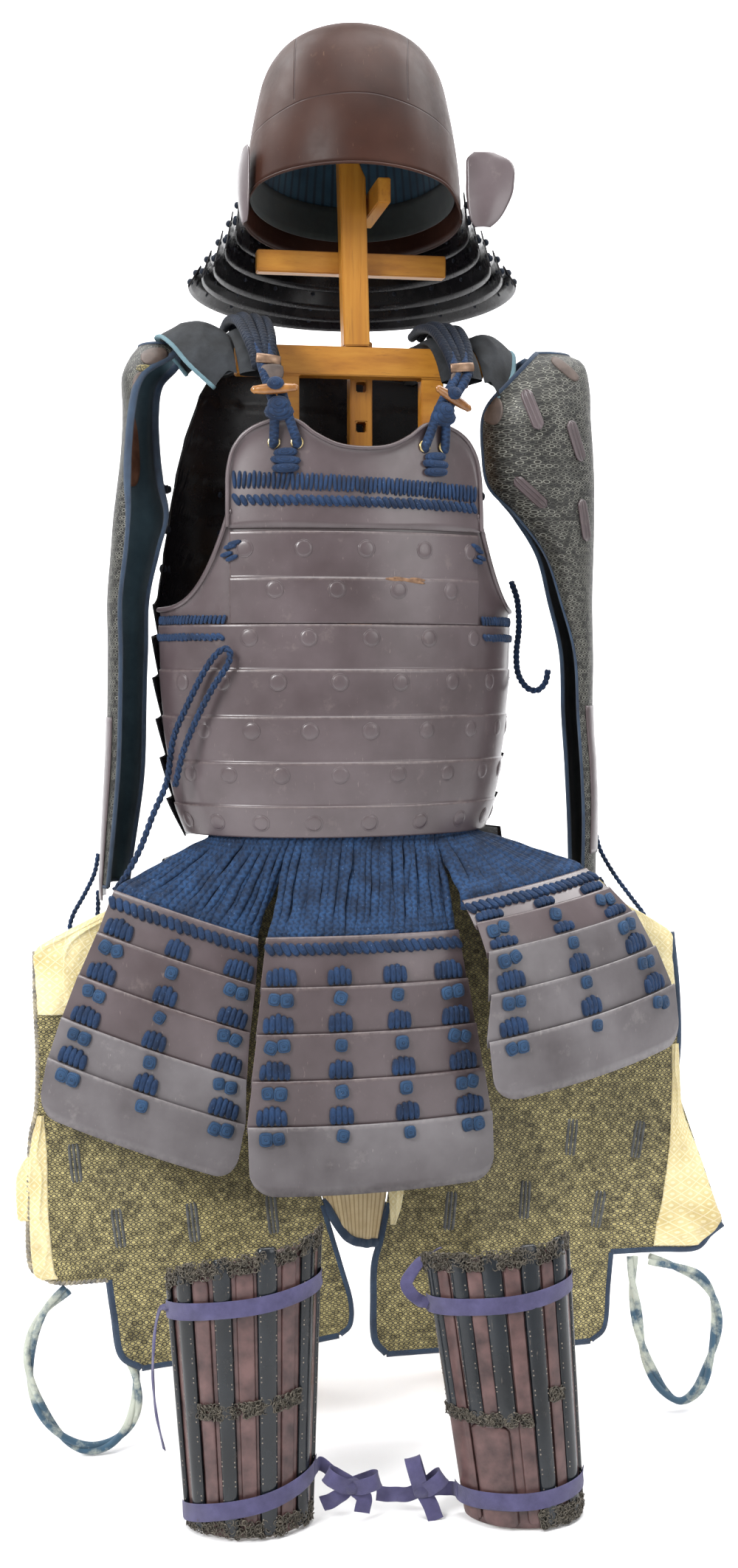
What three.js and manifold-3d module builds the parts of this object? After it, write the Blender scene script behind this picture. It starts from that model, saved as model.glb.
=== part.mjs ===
// A samurai armour of lacquered iron, laced with cord, on its wooden stand.
// Millimetres, +Z up, standing on z = 0. The front faces -Y and +X is on the right of a viewer in front.
// The origin is on the floor under the middle of the whole set.

import * as THREE from 'three';
import { mergeVertices } from 'three/addons/utils/BufferGeometryUtils.js';
import Module from 'manifold-3d';

const wasm = await Module();
wasm.setup();

// ---------------------------------------------------------------- driving dimensions

const GAP = 0.3;              // between pieces that touch
const IRON = 1.6;             // lacquered plate
const CLOTH = 2.5;            // mail on its cloth backing
const STAND_YAW = 10;         // degrees, the stand is turned a little to the viewer's right
const TRUNK_YAW = 15;         // degrees, and the cuirass hangs on it a little further round
const TRUNK_X = -30;          // axis of the cuirass
const MIDDLE = { x: 27.6, y: -51 };    // middle of the whole set, measured from the middle of the stand

const POST = {
  x: 5, width: 26, depth: 25, front: 30.3, top: 1232, foot: 340.3, hole: 12, step: 46, firstHole: 1180,
};
const BASE = { legLeft: -130, legRight: 150, leg: 30, beam: 300, beamHeight: 40, foot: 400, footHeight: 30 };
const SHOULDER_BAR = { reach: 143, front: 2, depth: 28, bottom: 1188, top: 1221 };
const YOKE = { legX: 84, width: 26, front: 5, depth: 22, bottom: 1034 };
const HEAD_POST = { width: 30, front: 3, depth: 24, lean: -1.6, top: 1436, propTop: 1549 };
const HEAD_BAR = { left: -116, right: 104, bottom: 1307, top: 1332, depth: 18 };
const CROWN_BAR = { left: 9.5, right: 24, front: -52, back: 70, bottom: 1370, top: 1398 };
const WAIST_RAIL = { reach: 240, front: -46, depth: 22, bottom: 580, top: 617 };

const HELMET = { x: -10.5, y: 0, z: 1362, tilt: -5, archRise: 12, columns: 24 };

// Sections of the helmet bowl, from the rim to the crown.
const BOWL = [
  { z: 0, halfWidth: 123.5, halfDepth: 152 },
  { z: 45, halfWidth: 121, halfDepth: 151 },
  { z: 86, halfWidth: 115.5, halfDepth: 147 },
  { z: 118, halfWidth: 109.5, halfDepth: 139 },
  { z: 146, halfWidth: 103, halfDepth: 128 },
  { z: 166, halfWidth: 94, halfDepth: 115 },
  { z: 182, halfWidth: 81, halfDepth: 98 },
  { z: 194, halfWidth: 61, halfDepth: 75 },
  { z: 202, halfWidth: 34, halfDepth: 43 },
  { z: 205, halfWidth: 0, halfDepth: 0 },
];

// Lames of the neck guard, from under the bowl's rim down to the flared edge. Each stops in front at end.
const NECK_LAMES = [
  { top: 20, topHalfWidth: 127, bottom: -22, bottomHalfWidth: 131, end: -13 },
  { top: -1, topHalfWidth: 135, bottom: -42, bottomHalfWidth: 143, end: -12 },
  { top: -22, topHalfWidth: 146, bottom: -62, bottomHalfWidth: 156, end: -11 },
  { top: -43, topHalfWidth: 158.5, bottom: -73, bottomHalfWidth: 169, end: -9 },
  { top: -58, topHalfWidth: 170, bottom: -81, bottomHalfWidth: 184, end: -6 },
];
const NECK = { deeper: 29, lessDeepPerLame: 2, backRise: 9, columns: 16 };

// Outline of a turned-back wing of the helmet, from its foot up, as reaches from its fixed edge.
const WING = [
  { z: 0, near: 10, far: 27 },
  { z: 8, near: 5, far: 36 },
  { z: 20, near: 2, far: 44 },
  { z: 38, near: 0, far: 52 },
  { z: 52, near: 0, far: 54 },
  { z: 66, near: 0, far: 54.5 },
  { z: 76, near: 1, far: 49 },
  { z: 84, near: 9, far: 31 },
];

// Half width and half depth of the cuirass at a height.
const TRUNK = [
  { z: 660, halfWidth: 174, halfDepth: 116 },
  { z: 705, halfWidth: 189, halfDepth: 124 },
  { z: 755, halfWidth: 197, halfDepth: 129 },
  { z: 830, halfWidth: 204, halfDepth: 132 },
  { z: 900, halfWidth: 205, halfDepth: 132 },
  { z: 1003, halfWidth: 204, halfDepth: 130 },
  { z: 1130, halfWidth: 200, halfDepth: 121 },
  { z: 1250, halfWidth: 192, halfDepth: 112 },
];
const FRONT_EDGES = [670, 705, 753, 803, 854, 903];    // lower edges of the full-width lames and their top
const CHEST_EDGES = [953, 1003];                       // the narrow chest lames above: middle edge and top
const CHEST_HALF = 141;                                // half width of the narrow lames
const CHEST_TOP = 1030;
const LAME_STEP = 1.8;
const FRONT_REACH = 86;                                // degrees from the front's middle to its side edge
const SIDE_TOP = 920;                                  // under the arm
const BACK_REACH = 87;

// Upper edge of the top plate, by the distance from the middle.
const TOP_PLATE = [
  { x: 0, top: 1092 }, { x: 28, top: 1095 }, { x: 52, top: 1106 }, { x: 72, top: 1120 },
  { x: 92, top: 1121 }, { x: 110, top: 1116 }, { x: 124, top: 1107 }, { x: 133, top: 1095 },
  { x: 138, top: 1082 }, { x: 141, top: 1062 },
];
const TOP_PLATE_FOOT = 1006;

// Upper edge of the back plate, by the distance from the middle.
const BACK_PLATE = [
  { x: 0, top: 1206 }, { x: 60, top: 1206 }, { x: 85, top: 1205 }, { x: 110, top: 1202 },
  { x: 138, top: 1196 }, { x: 153, top: 1170 }, { x: 172, top: 1112 }, { x: 184, top: 1060 },
  { x: 196, top: 990 }, { x: 210, top: 920 },
];

// Path of the upper side of a shoulder strap from the back plate over the bar to the chest, front to back.
const STRAP = [
  { y: 92, z: 1204 }, { y: 78, z: 1226 }, { y: 58, z: 1235 }, { y: 24, z: 1236 }, { y: -12, z: 1234 },
  { y: -42, z: 1222 }, { y: -68, z: 1202 }, { y: -86, z: 1178 },
];
const STRAP_SIZE = { middleLeft: 104, middleRight: 124, width: 46, thickness: 8 };

// The shoulder pad beside the strap: how far it reaches out and how far it droops, from back to front.
const PAD = [
  { along: 0, reach: 26, droop: 2 }, { along: 1, reach: 48, droop: 2 }, { along: 2, reach: 62, droop: 2 },
  { along: 3, reach: 70, droop: 3 }, { along: 4, reach: 70, droop: 4 }, { along: 5, reach: 62, droop: 5 },
  { along: 6, reach: 48, droop: 7 }, { along: 7, reach: 24, droop: 8 },
];
const PAD_THICKNESS = 9;
const PAD_SHARE = { left: 1, right: 0.81 };
const TOGGLE_TILT = 24;

// Sections of the sleeves: open ellipse arcs, 0 degrees on the outer side, -90 in front, 90 at the back.
const SLEEVE_RIGHT = [
  { z: 1209, x: 208, y: 4, halfWidth: 26, halfDepth: 26, from: -110, to: 130 },
  { z: 1200, x: 206, y: 4, halfWidth: 44, halfDepth: 40, from: -110, to: 130 },
  { z: 1172, x: 202, y: 4, halfWidth: 55, halfDepth: 52, from: -132, to: 140 },
  { z: 1140, x: 199, y: 2, halfWidth: 60, halfDepth: 58, from: -166, to: 150 },
  { z: 1100, x: 202, y: 4, halfWidth: 61, halfDepth: 57, from: -172, to: 150 },
  { z: 1062, x: 207, y: 8, halfWidth: 58, halfDepth: 55, from: -170, to: 152 },
  { z: 1030, x: 221, y: 12, halfWidth: 44, halfDepth: 53, from: -160, to: 158 },
  { z: 985, x: 236, y: 18, halfWidth: 29, halfDepth: 51, from: -148, to: 165 },
  { z: 930, x: 243, y: 24, halfWidth: 22, halfDepth: 50, from: -128, to: 175 },
  { z: 870, x: 250, y: 30, halfWidth: 16, halfDepth: 48, from: -108, to: 182 },
  { z: 800, x: 252, y: 34, halfWidth: 15, halfDepth: 46, from: -100, to: 186 },
  { z: 740, x: 257, y: 36, halfWidth: 15, halfDepth: 44, from: -100, to: 186 },
  { z: 680, x: 260, y: 38, halfWidth: 14, halfDepth: 41, from: -100, to: 184 },
  { z: 612, x: 260, y: 40, halfWidth: 13, halfDepth: 37, from: -100, to: 182 },
];
const SLEEVE_LEFT = [
  { z: 1219, x: -228, y: -2, halfWidth: 24, halfDepth: 28, from: 60, to: 320 },
  { z: 1205, x: -231, y: -2, halfWidth: 31, halfDepth: 42, from: 60, to: 305 },
  { z: 1182, x: -248, y: -6, halfWidth: 21, halfDepth: 48, from: 50, to: 284 },
  { z: 1146, x: -251, y: -14, halfWidth: 16, halfDepth: 50, from: 40, to: 262 },
  { z: 1100, x: -251, y: -28, halfWidth: 17, halfDepth: 50, from: 22, to: 250 },
  { z: 1062, x: -249, y: -42, halfWidth: 21, halfDepth: 49, from: 8, to: 250 },
  { z: 1025, x: -246, y: -52, halfWidth: 27, halfDepth: 46, from: 0, to: 252 },
  { z: 985, x: -252, y: -56, halfWidth: 24, halfDepth: 44, from: -4, to: 258 },
  { z: 930, x: -262, y: -50, halfWidth: 20, halfDepth: 43, from: -6, to: 262 },
  { z: 870, x: -264, y: -40, halfWidth: 19, halfDepth: 43, from: -6, to: 264 },
  { z: 800, x: -267, y: -30, halfWidth: 19, halfDepth: 42, from: -6, to: 264 },
  { z: 740, x: -271, y: -20, halfWidth: 19, halfDepth: 41, from: -6, to: 264 },
  { z: 680, x: -277, y: -12, halfWidth: 17, halfDepth: 39, from: -4, to: 262 },
  { z: 606, x: -286, y: -4, halfWidth: 14, halfDepth: 36, from: -2, to: 260 },
];

// The hanging tassets: place of the top middle, turn about Z and roll in their own plane. tops gives how far
// each lame's upper edge lies down, aside and out from the first one's, and the last row is the lower edge.
const TASSETS = [
  { name: 'left', x: -190, y: -150, z: 589, yaw: -3, roll: 18.4, topHalf: 83, lastHalf: 113,
    skirtFrom: -66, skirtTo: -29.5,
    tops: [{ down: 0, aside: 0, out: 0 }, { down: 48, aside: 6, out: 7 }, { down: 98, aside: 9, out: 14 },
      { down: 147, aside: 14, out: 20 }, { down: 193, aside: 21, out: 26 },
      { down: 254, aside: 29, out: 34 }] },
  { name: 'centre', x: 6, y: -161, z: 569, yaw: 16, roll: 0, topHalf: 108, lastHalf: 137,
    skirtFrom: -26.5, skirtTo: 34,
    tops: [{ down: 0, aside: 0, out: 0 }, { down: 53, aside: 0, out: 7 }, { down: 102, aside: 1, out: 14 },
      { down: 151, aside: 2, out: 20 }, { down: 199, aside: 3, out: 26 },
      { down: 272, aside: 4, out: 36 }] },
  { name: 'right', x: 188, y: -84, z: 614, yaw: 34, roll: -8, topHalf: 89, lastHalf: 135,
    skirtFrom: 36.5, skirtTo: 66,
    tops: [{ down: 0, aside: 0, out: 0 }, { down: 24, aside: 3, out: 24 }, { down: 52, aside: 11, out: 44 },
      { down: 95, aside: 14, out: 58 }, { down: 143, aside: 16, out: 68 },
      { down: 209, aside: 12, out: 78 }] },
];
const TASSET = { bow: 460, overlap: 7, step: 5, corner: 26 };
const REAR_TASSETS = [
  { name: 'rear_left', angle: 238, z: 640, roll: 0 },
  { name: 'rear_right', angle: 122, z: 668, roll: 0 },
];
const REAR = { topHalf: 78, lastHalf: 100, tops: [0, 46, 92, 138, 184, 244], out: 12, flare: 6, step: 1.6 };
const SKIRT = {
  thickness: 3.5, columns: 15, top: 688, edge: 667, inside: 5, behind: 4, tuck: 12, pleat: 1.2,
};

// Outlines of the thigh guard's two panels, as distances from its middle line, in the stand's frame. Below
// the // notch row only the narrow part goes on. lift raises a row's inner end.
const THIGH_LEFT = [
  { z: 620, outer: 262, notch: 190, inner: 61, lift: 0 },
  { z: 578, outer: 298, notch: 225, inner: 61, lift: 0 },
  { z: 562, outer: 350, notch: 250, inner: 61, lift: 0 },
  { z: 546, outer: 374, notch: 270, inner: 61, lift: 0 },
  { z: 490, outer: 373, notch: 276, inner: 61, lift: 0 },
  { z: 430, outer: 371, notch: 280, inner: 62, lift: 0 },
  { z: 376, outer: 373, notch: 284, inner: 62, lift: 0 },
  { z: 340, outer: 381, notch: 288, inner: 63, lift: 0 },
  { z: 270, outer: 383, notch: 292, inner: 63, lift: 0 },
  { z: 212, outer: 383, notch: 296, inner: 49, lift: 0 },
  { z: 186, outer: 352, notch: 298, inner: 42, lift: 0 },
  { z: 150, outer: 0, notch: 292, inner: 32, lift: 0 },
  { z: 106, outer: 0, notch: 284, inner: 34, lift: 16 },
  { z: 90, outer: 0, notch: 262, inner: 44, lift: 25 },
];
const THIGH_RIGHT = [
  { z: 620, outer: 262, notch: 190, inner: 10, lift: 0 },
  { z: 580, outer: 300, notch: 225, inner: 10, lift: 0 },
  { z: 562, outer: 336, notch: 245, inner: 11, lift: 0 },
  { z: 546, outer: 356, notch: 255, inner: 11, lift: 0 },
  { z: 490, outer: 361, notch: 262, inner: 12, lift: 0 },
  { z: 430, outer: 360, notch: 264, inner: 12, lift: 0 },
  { z: 376, outer: 352, notch: 266, inner: 13, lift: 0 },
  { z: 330, outer: 367, notch: 268, inner: 13, lift: 0 },
  { z: 270, outer: 387, notch: 270, inner: 14, lift: 0 },
  { z: 216, outer: 404, notch: 271, inner: 4, lift: 0 },
  { z: 187, outer: 372, notch: 271, inner: -4, lift: 0 },
  { z: 150, outer: 0, notch: 266, inner: -6, lift: 0 },
  { z: 106, outer: 0, notch: 260, inner: -6, lift: 0 },
  { z: 90, outer: 0, notch: 244, inner: 6, lift: 0 },
];
const THIGH = { topY: -50, slope: 0.13, outerCells: 3, innerCells: 6, notchRow: 10, wave: 4 };
const GUSSET_ROWS = [620, 540, 460, 380, 310, 262];

// Free cords, as points along their middle lines. The loops of the thigh guard are in the stand's frame.
const THIGH_LOOP = { radius: 6.5, behind: 11, steps: 20, sides: 8 };
const LOOP_LEFT = [
  { x: -343, z: 178 }, { x: -366, z: 158 }, { x: -381, z: 130 }, { x: -385, z: 98 }, { x: -378, z: 64 },
  { x: -362, z: 35 }, { x: -341, z: 15 }, { x: -319, z: 7 }, { x: -297, z: 12 }, { x: -279, z: 28 },
  { x: -270, z: 52 }, { x: -270, z: 80 }, { x: -275, z: 98 },
];
const LOOP_RIGHT = [
  { x: 300, z: 178 }, { x: 299, z: 152 }, { x: 302, z: 118 }, { x: 307, z: 84 }, { x: 316, z: 54 },
  { x: 331, z: 27 }, { x: 352, z: 12 }, { x: 374, z: 24 }, { x: 389, z: 55 }, { x: 399, z: 94 },
  { x: 396, z: 126 }, { x: 379, z: 150 }, { x: 350, z: 164 }, { x: 320, z: 174 },
];
const WAIST_CORD = { radius: 3.7, steps: 34 };
const WAIST_CORD_POINTS = [
  { x: -270, y: -122, z: 612 }, { x: -258, y: -122, z: 628 }, { x: -243, y: -118, z: 656 },
  { x: -229, y: -110, z: 694 }, { x: -214, y: -104, z: 731 }, { x: -206, y: -111, z: 777 },
  { x: -190, y: -124, z: 813 }, { x: -169, y: -132, z: 853 }, { x: -153, y: -139, z: 873 },
  { x: -142, y: -142, z: 875 }, { x: -143, y: -142, z: 860 }, { x: -160, y: -138, z: 834 },
  { x: -177, y: -131, z: 803 }, { x: -194, y: -121, z: 764 }, { x: -204, y: -112, z: 726 },
];
const THIN_CORD = { radius: 2.8, steps: 20 };
const SIDE_CORD_POINTS = [
  { x: 176, y: 50, z: 956 }, { x: 183, y: 50, z: 934 }, { x: 185, y: 50, z: 904 }, { x: 182, y: 48, z: 872 },
  { x: 184, y: 44, z: 848 }, { x: 194, y: 40, z: 832 }, { x: 206, y: 37, z: 829 }, { x: 215, y: 35, z: 838 },
  { x: 218, y: 34, z: 852 },
];
const WRIST_LEFT_POINTS = [
  { x: -305, y: -4, z: 640 }, { x: -309, y: -8, z: 618 }, { x: -320, y: -14, z: 594 },
  { x: -332, y: -18, z: 572 }, { x: -336, y: -20, z: 555 }, { x: -328, y: -20, z: 542 },
  { x: -315, y: -18, z: 541 }, { x: -307, y: -15, z: 554 },
  { x: -305, y: -11, z: 576 }, { x: -305, y: -8, z: 598 },
];
const WRIST_RIGHT_POINTS = [
  { x: 278, y: 56, z: 660 }, { x: 284, y: 54, z: 638 }, { x: 300, y: 50, z: 610 }, { x: 319, y: 46, z: 584 },
  { x: 335, y: 43, z: 562 }, { x: 338, y: 42, z: 545 }, { x: 328, y: 42, z: 533 }, { x: 315, y: 43, z: 538 },
  { x: 306, y: 46, z: 558 }, { x: 294, y: 50, z: 584 }, { x: 283, y: 53, z: 606 },
];

const SHIN_THICKNESS = 4;

// The shin guards, standing on the floor: middle and half width at the foot and at the top, and the yaw.
const SHINS = [
  { name: 'left', footX: -112, footY: -322, footHalf: 60, topX: -120, topY: -298, topHalf: 77, yaw: 5,
    topLow: 238, topHigh: 292, tieSide: 1, tieFrom: 14, tieTo: 58 },
  { name: 'right', footX: 164, footY: -302, footHalf: 59, topX: 136, topY: -262, topHalf: 74, yaw: 2,
    topLow: 250, topHigh: 276, tieSide: -1, tieFrom: 22, tieTo: 34 },
];
const SHIN = { depth: 48, columns: 14, rows: 5, reach: 86 };
const TIE = { width: 14, thickness: 1.2, away: 0.8, columns: 10, reach: 84 };

// ---------------------------------------------------------------- finishes

function finish(color, roughness, metalness = 0) {
  return new THREE.MeshStandardMaterial({ color, roughness, metalness });
}

const LACQUER = finish(0x5c484b, 0.38, 0.2);
const BLACK_LACQUER = finish(0x15151a, 0.25, 0.1);
const WOOD = finish(0xb9772a, 0.55);
const LACE = finish(0x24406c, 0.9);
const MAIL = finish(0x45433f, 0.7, 0.4);
const GOLD_MAIL = finish(0x6a5b38, 0.75, 0.3);
const BROCADE = finish(0xd8bc7c, 0.8);
const DARK_CLOTH = finish(0x23262f, 0.9);
const INDIGO_CLOTH = finish(0x2d4a6a, 0.9);
const RIBBON = finish(0x54508a, 0.85);
const SPLINT = finish(0x2b2f36, 0.35, 0.2);
const PALE_CLOTH = finish(0x8fa5ab, 0.9);

// ---------------------------------------------------------------- helpers

const v3 = (x, y, z) => new THREE.Vector3(x, y, z);
const rad = THREE.MathUtils.degToRad;

// The value of a table's column at a place in its key column, on straight lines between the rows.
function lookUp(table, key, column, at) {
  const rising = table[table.length - 1][key] > table[0][key] ? 1 : -1;
  let k = 0;
  while (k < table.length - 2 && (at - table[k + 1][key]) * rising > 0) k++;
  const [a, b] = [table[k], table[k + 1]];
  const t = THREE.MathUtils.clamp((at - a[key]) / (b[key] - a[key]), 0, 1);
  return a[column] + (b[column] - a[column]) * t;
}

// A closed body from points and triangles, with its faces turned outwards.
function solid(points, faces) {
  let volume = 0;
  for (const [a, b, c] of faces) volume += points[a].dot(points[b].clone().cross(points[c]));
  const turned = volume < 0 ? faces.map(([a, b, c]) => [a, c, b]) : faces;
  const geometry = new THREE.BufferGeometry().setFromPoints(points);
  geometry.setIndex(turned.flat());
  geometry.computeVertexNormals();
  return geometry;
}

// A sheet of triangles given a thickness along its own normals, and closed round every open edge.
function thicken(points, faces, thickness) {
  const normals = points.map(() => v3(0, 0, 0));
  for (const [a, b, c] of faces) {
    const side = points[b].clone().sub(points[a]);
    const normal = side.cross(points[c].clone().sub(points[a]));
    for (const k of [a, b, c]) normals[k].add(normal);
  }
  const count = points.length;
  const inner = points.map((p, k) => p.clone().addScaledVector(normals[k].normalize(), -thickness));
  const all = [...faces, ...faces.map(([a, b, c]) => [a + count, c + count, b + count])];
  const open = new Map();
  for (const face of faces) {
    for (let k = 0; k < 3; k++) {
      const [a, b] = [face[k], face[(k + 1) % 3]];
      if (!open.delete(`${b},${a}`)) open.set(`${a},${b}`, [a, b]);
    }
  }
  for (const [a, b] of open.values()) {
    all.push([b, a, a + count]);
    all.push([b, a + count, b + count]);
  }
  return solid([...points, ...inner], all);
}

// A wall from rows of points. around joins each row's ends; keep(row, column) can leave cells out.
function wall(rows, thickness, { around = false, keep = () => true } = {}) {
  const across = rows[0].length;
  const cells = around ? across : across - 1;
  const used = new Map();
  const points = [];
  const numberOf = (p) => {
    const key = `${p.x.toFixed(3)},${p.y.toFixed(3)},${p.z.toFixed(3)}`;
    if (!used.has(key)) {
      used.set(key, points.length);
      points.push(p);
    }
    return used.get(key);
  };
  const faces = [];
  const addFace = (...corners) => {
    const face = corners.map(numberOf);
    if (new Set(face).size === 3) faces.push(face);
  };
  for (let i = 0; i + 1 < rows.length; i++) {
    for (let j = 0; j < cells; j++) {
      if (!keep(i, j)) continue;
      const k = (j + 1) % across;
      addFace(rows[i][j], rows[i][k], rows[i + 1][k]);
      addFace(rows[i][j], rows[i + 1][k], rows[i + 1][j]);
    }
  }
  return thicken(points, faces, thickness);
}

// A row of count + 1 points from a function of the fraction along it.
function row(count, pointAt) {
  return Array.from({ length: count + 1 }, (_, k) => pointAt(k / count));
}

// A box between two corners.
function box(x0, x1, y0, y1, z0, z1) {
  const geometry = new THREE.BoxGeometry(x1 - x0, y1 - y0, z1 - z0);
  return geometry.translate((x0 + x1) / 2, (y0 + y1) / 2, (z0 + z1) / 2);
}

// A round cord along a smooth curve through the points.
function cord(points, radius, steps, sides = 8) {
  const section = new THREE.Shape(row(sides - 1, (t) => {
    const angle = (t * (sides - 1) / sides) * 2 * Math.PI;
    return new THREE.Vector2(radius * Math.cos(angle), radius * Math.sin(angle));
  }));
  const extrudePath = new THREE.CatmullRomCurve3(points, false, 'centripetal');
  return new THREE.ExtrudeGeometry(section, { extrudePath, steps, bevelEnabled: false });
}

function toManifold(geometry) {
  const bare = geometry.clone();
  bare.deleteAttribute('normal');
  bare.deleteAttribute('uv');
  const merged = mergeVertices(bare, 1e-3);
  return new wasm.Manifold(new wasm.Mesh({
    numProp: 3,
    vertProperties: new Float32Array(merged.attributes.position.array),
    triVerts: new Uint32Array(merged.index.array),
  }));
}

function fromManifold(body) {
  const mesh = body.getMesh();
  const geometry = new THREE.BufferGeometry();
  geometry.setAttribute('position', new THREE.BufferAttribute(new Float32Array(mesh.vertProperties), 3));
  geometry.setIndex(new THREE.BufferAttribute(new Uint32Array(mesh.triVerts), 1));
  geometry.computeVertexNormals();
  return geometry;
}

function joined(...geometries) {
  return fromManifold(geometries.map(toManifold).reduce((a, b) => a.add(b)));
}

function cut(geometry, ...tools) {
  return fromManifold(tools.map(toManifold).reduce((a, b) => a.subtract(b), toManifold(geometry)));
}

function piece(name, geometry, material) {
  const mesh = new THREE.Mesh(geometry, material);
  mesh.name = name;
  return mesh;
}

// ---------------------------------------------------------------- frames

const armour = new THREE.Group();
armour.position.set(-MIDDLE.x, -MIDDLE.y, 0);

const stand = new THREE.Group();
stand.rotation.z = rad(STAND_YAW);
stand.updateMatrix();
armour.add(stand);

const trunk = new THREE.Group();
trunk.position.x = TRUNK_X;
trunk.rotation.z = rad(TRUNK_YAW);
trunk.updateMatrix();
armour.add(trunk);

const helmet = new THREE.Group();
helmet.position.set(HELMET.x, HELMET.y, HELMET.z);
helmet.rotation.x = rad(HELMET.tilt);
armour.add(helmet);

// ---------------------------------------------------------------- wooden stand

function addStand() {
  const { legLeft, legRight, leg, beam, beamHeight, foot, footHeight } = BASE;
  const middle = POST.front + POST.depth / 2;
  const halfLeg = leg / 2;
  const beamFoot = beam;
  const beamTop = beam + beamHeight;
  const uprights = [legLeft, legRight].flatMap((x) => [
    box(x - halfLeg, x + halfLeg, middle - halfLeg, middle + halfLeg, footHeight - 5, beamFoot + 5),
    box(x - halfLeg, x + halfLeg, middle - foot / 2, middle + foot / 2, 0, footHeight),
  ]);
  const crossBeam = box(legLeft - 30, legRight + 30, middle - halfLeg, middle + halfLeg, beamFoot, beamTop);
  stand.add(piece('stand_trestle', joined(crossBeam, ...uprights), WOOD));

  const { x: postX, width, depth, front, top, foot: postFoot, hole, step, firstHole } = POST;
  const post = box(postX - width / 2, postX + width / 2, front, front + depth, postFoot, top);
  const holes = [0, 1, 2, 3].map((k) => {
    const z = firstHole - k * step;
    return box(postX - hole / 2, postX + hole / 2, front - 5, front + depth + 5, z - hole / 2, z + hole / 2);
  });
  stand.add(piece('stand_post', cut(post, ...holes), WOOD));

  const bar = SHOULDER_BAR;
  const barBox = box(-bar.reach, bar.reach, bar.front, bar.front + bar.depth, bar.bottom, bar.top);
  const legs = [-YOKE.legX, YOKE.legX].map((x) => box(
    x - YOKE.width / 2, x + YOKE.width / 2, YOKE.front, YOKE.front + YOKE.depth, YOKE.bottom, bar.bottom + 2,
  ));
  const tie = box(-YOKE.legX, YOKE.legX, YOKE.front, YOKE.front + YOKE.depth, YOKE.bottom, YOKE.bottom + 26);
  stand.add(piece('stand_yoke', joined(barBox, ...legs, tie), WOOD));

  const head = HEAD_POST;
  const half = head.width / 2;
  const headFoot = bar.top + 1.4;
  const mainPost = box(-half, half, head.front, head.front + head.depth, headFoot, head.top);
  const bevel = new THREE.BoxGeometry(30, head.depth + 10, 90);
  bevel.rotateY(rad(-24));
  bevel.translate(half + 8, head.front + head.depth / 2, head.top - 6);
  const back = head.front + head.depth;
  const prop = box(-half, -half + 18, back - 10, back, head.top - 60, head.propTop);
  const headGeometry = joined(cut(mainPost, bevel), prop);
  const headPiece = piece('stand_head_post', headGeometry, WOOD);
  headPiece.geometry.translate(0, 0, -headFoot);
  headPiece.position.set(-4.5, 0, headFoot);
  headPiece.rotation.y = rad(head.lean);
  stand.add(headPiece);

  const headBack = head.front + head.depth + GAP;
  const { left, right, bottom, top: barTop, depth: barDepth } = HEAD_BAR;
  stand.add(piece('stand_head_bar', box(left, right, headBack, headBack + barDepth, bottom, barTop), WOOD));
  const crown = CROWN_BAR;
  stand.add(piece('stand_crown_bar',
    box(crown.left, crown.right, crown.front, crown.back, crown.bottom, crown.top), WOOD));

  const rail = WAIST_RAIL;
  const railBack = rail.front + rail.depth;
  const railBar = box(-rail.reach, rail.reach, rail.front, railBack, rail.bottom, rail.top);
  const [armBottom, armTop] = [rail.bottom + 6, rail.top - 6];
  const arm = box(postX - width / 2, postX + width / 2, railBack - 2, front - GAP, armBottom, armTop);
  stand.add(piece('stand_waist_rail', joined(railBar, arm), WOOD));
}

// ---------------------------------------------------------------- helmet

// A point of an ellipse of the helmet, 90 degrees at the back.
function ringPoint(halfWidth, halfDepth, z, degrees) {
  return v3(halfWidth * Math.cos(rad(degrees)), halfDepth * Math.sin(rad(degrees)), z);
}

// The rim arches up over the brow: smooth from the temples to the front.
function browRise(y) {
  const t = THREE.MathUtils.clamp((-y - 20) / 75, 0, 1);
  return HELMET.archRise * t * t * (3 - 2 * t);
}

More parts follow.
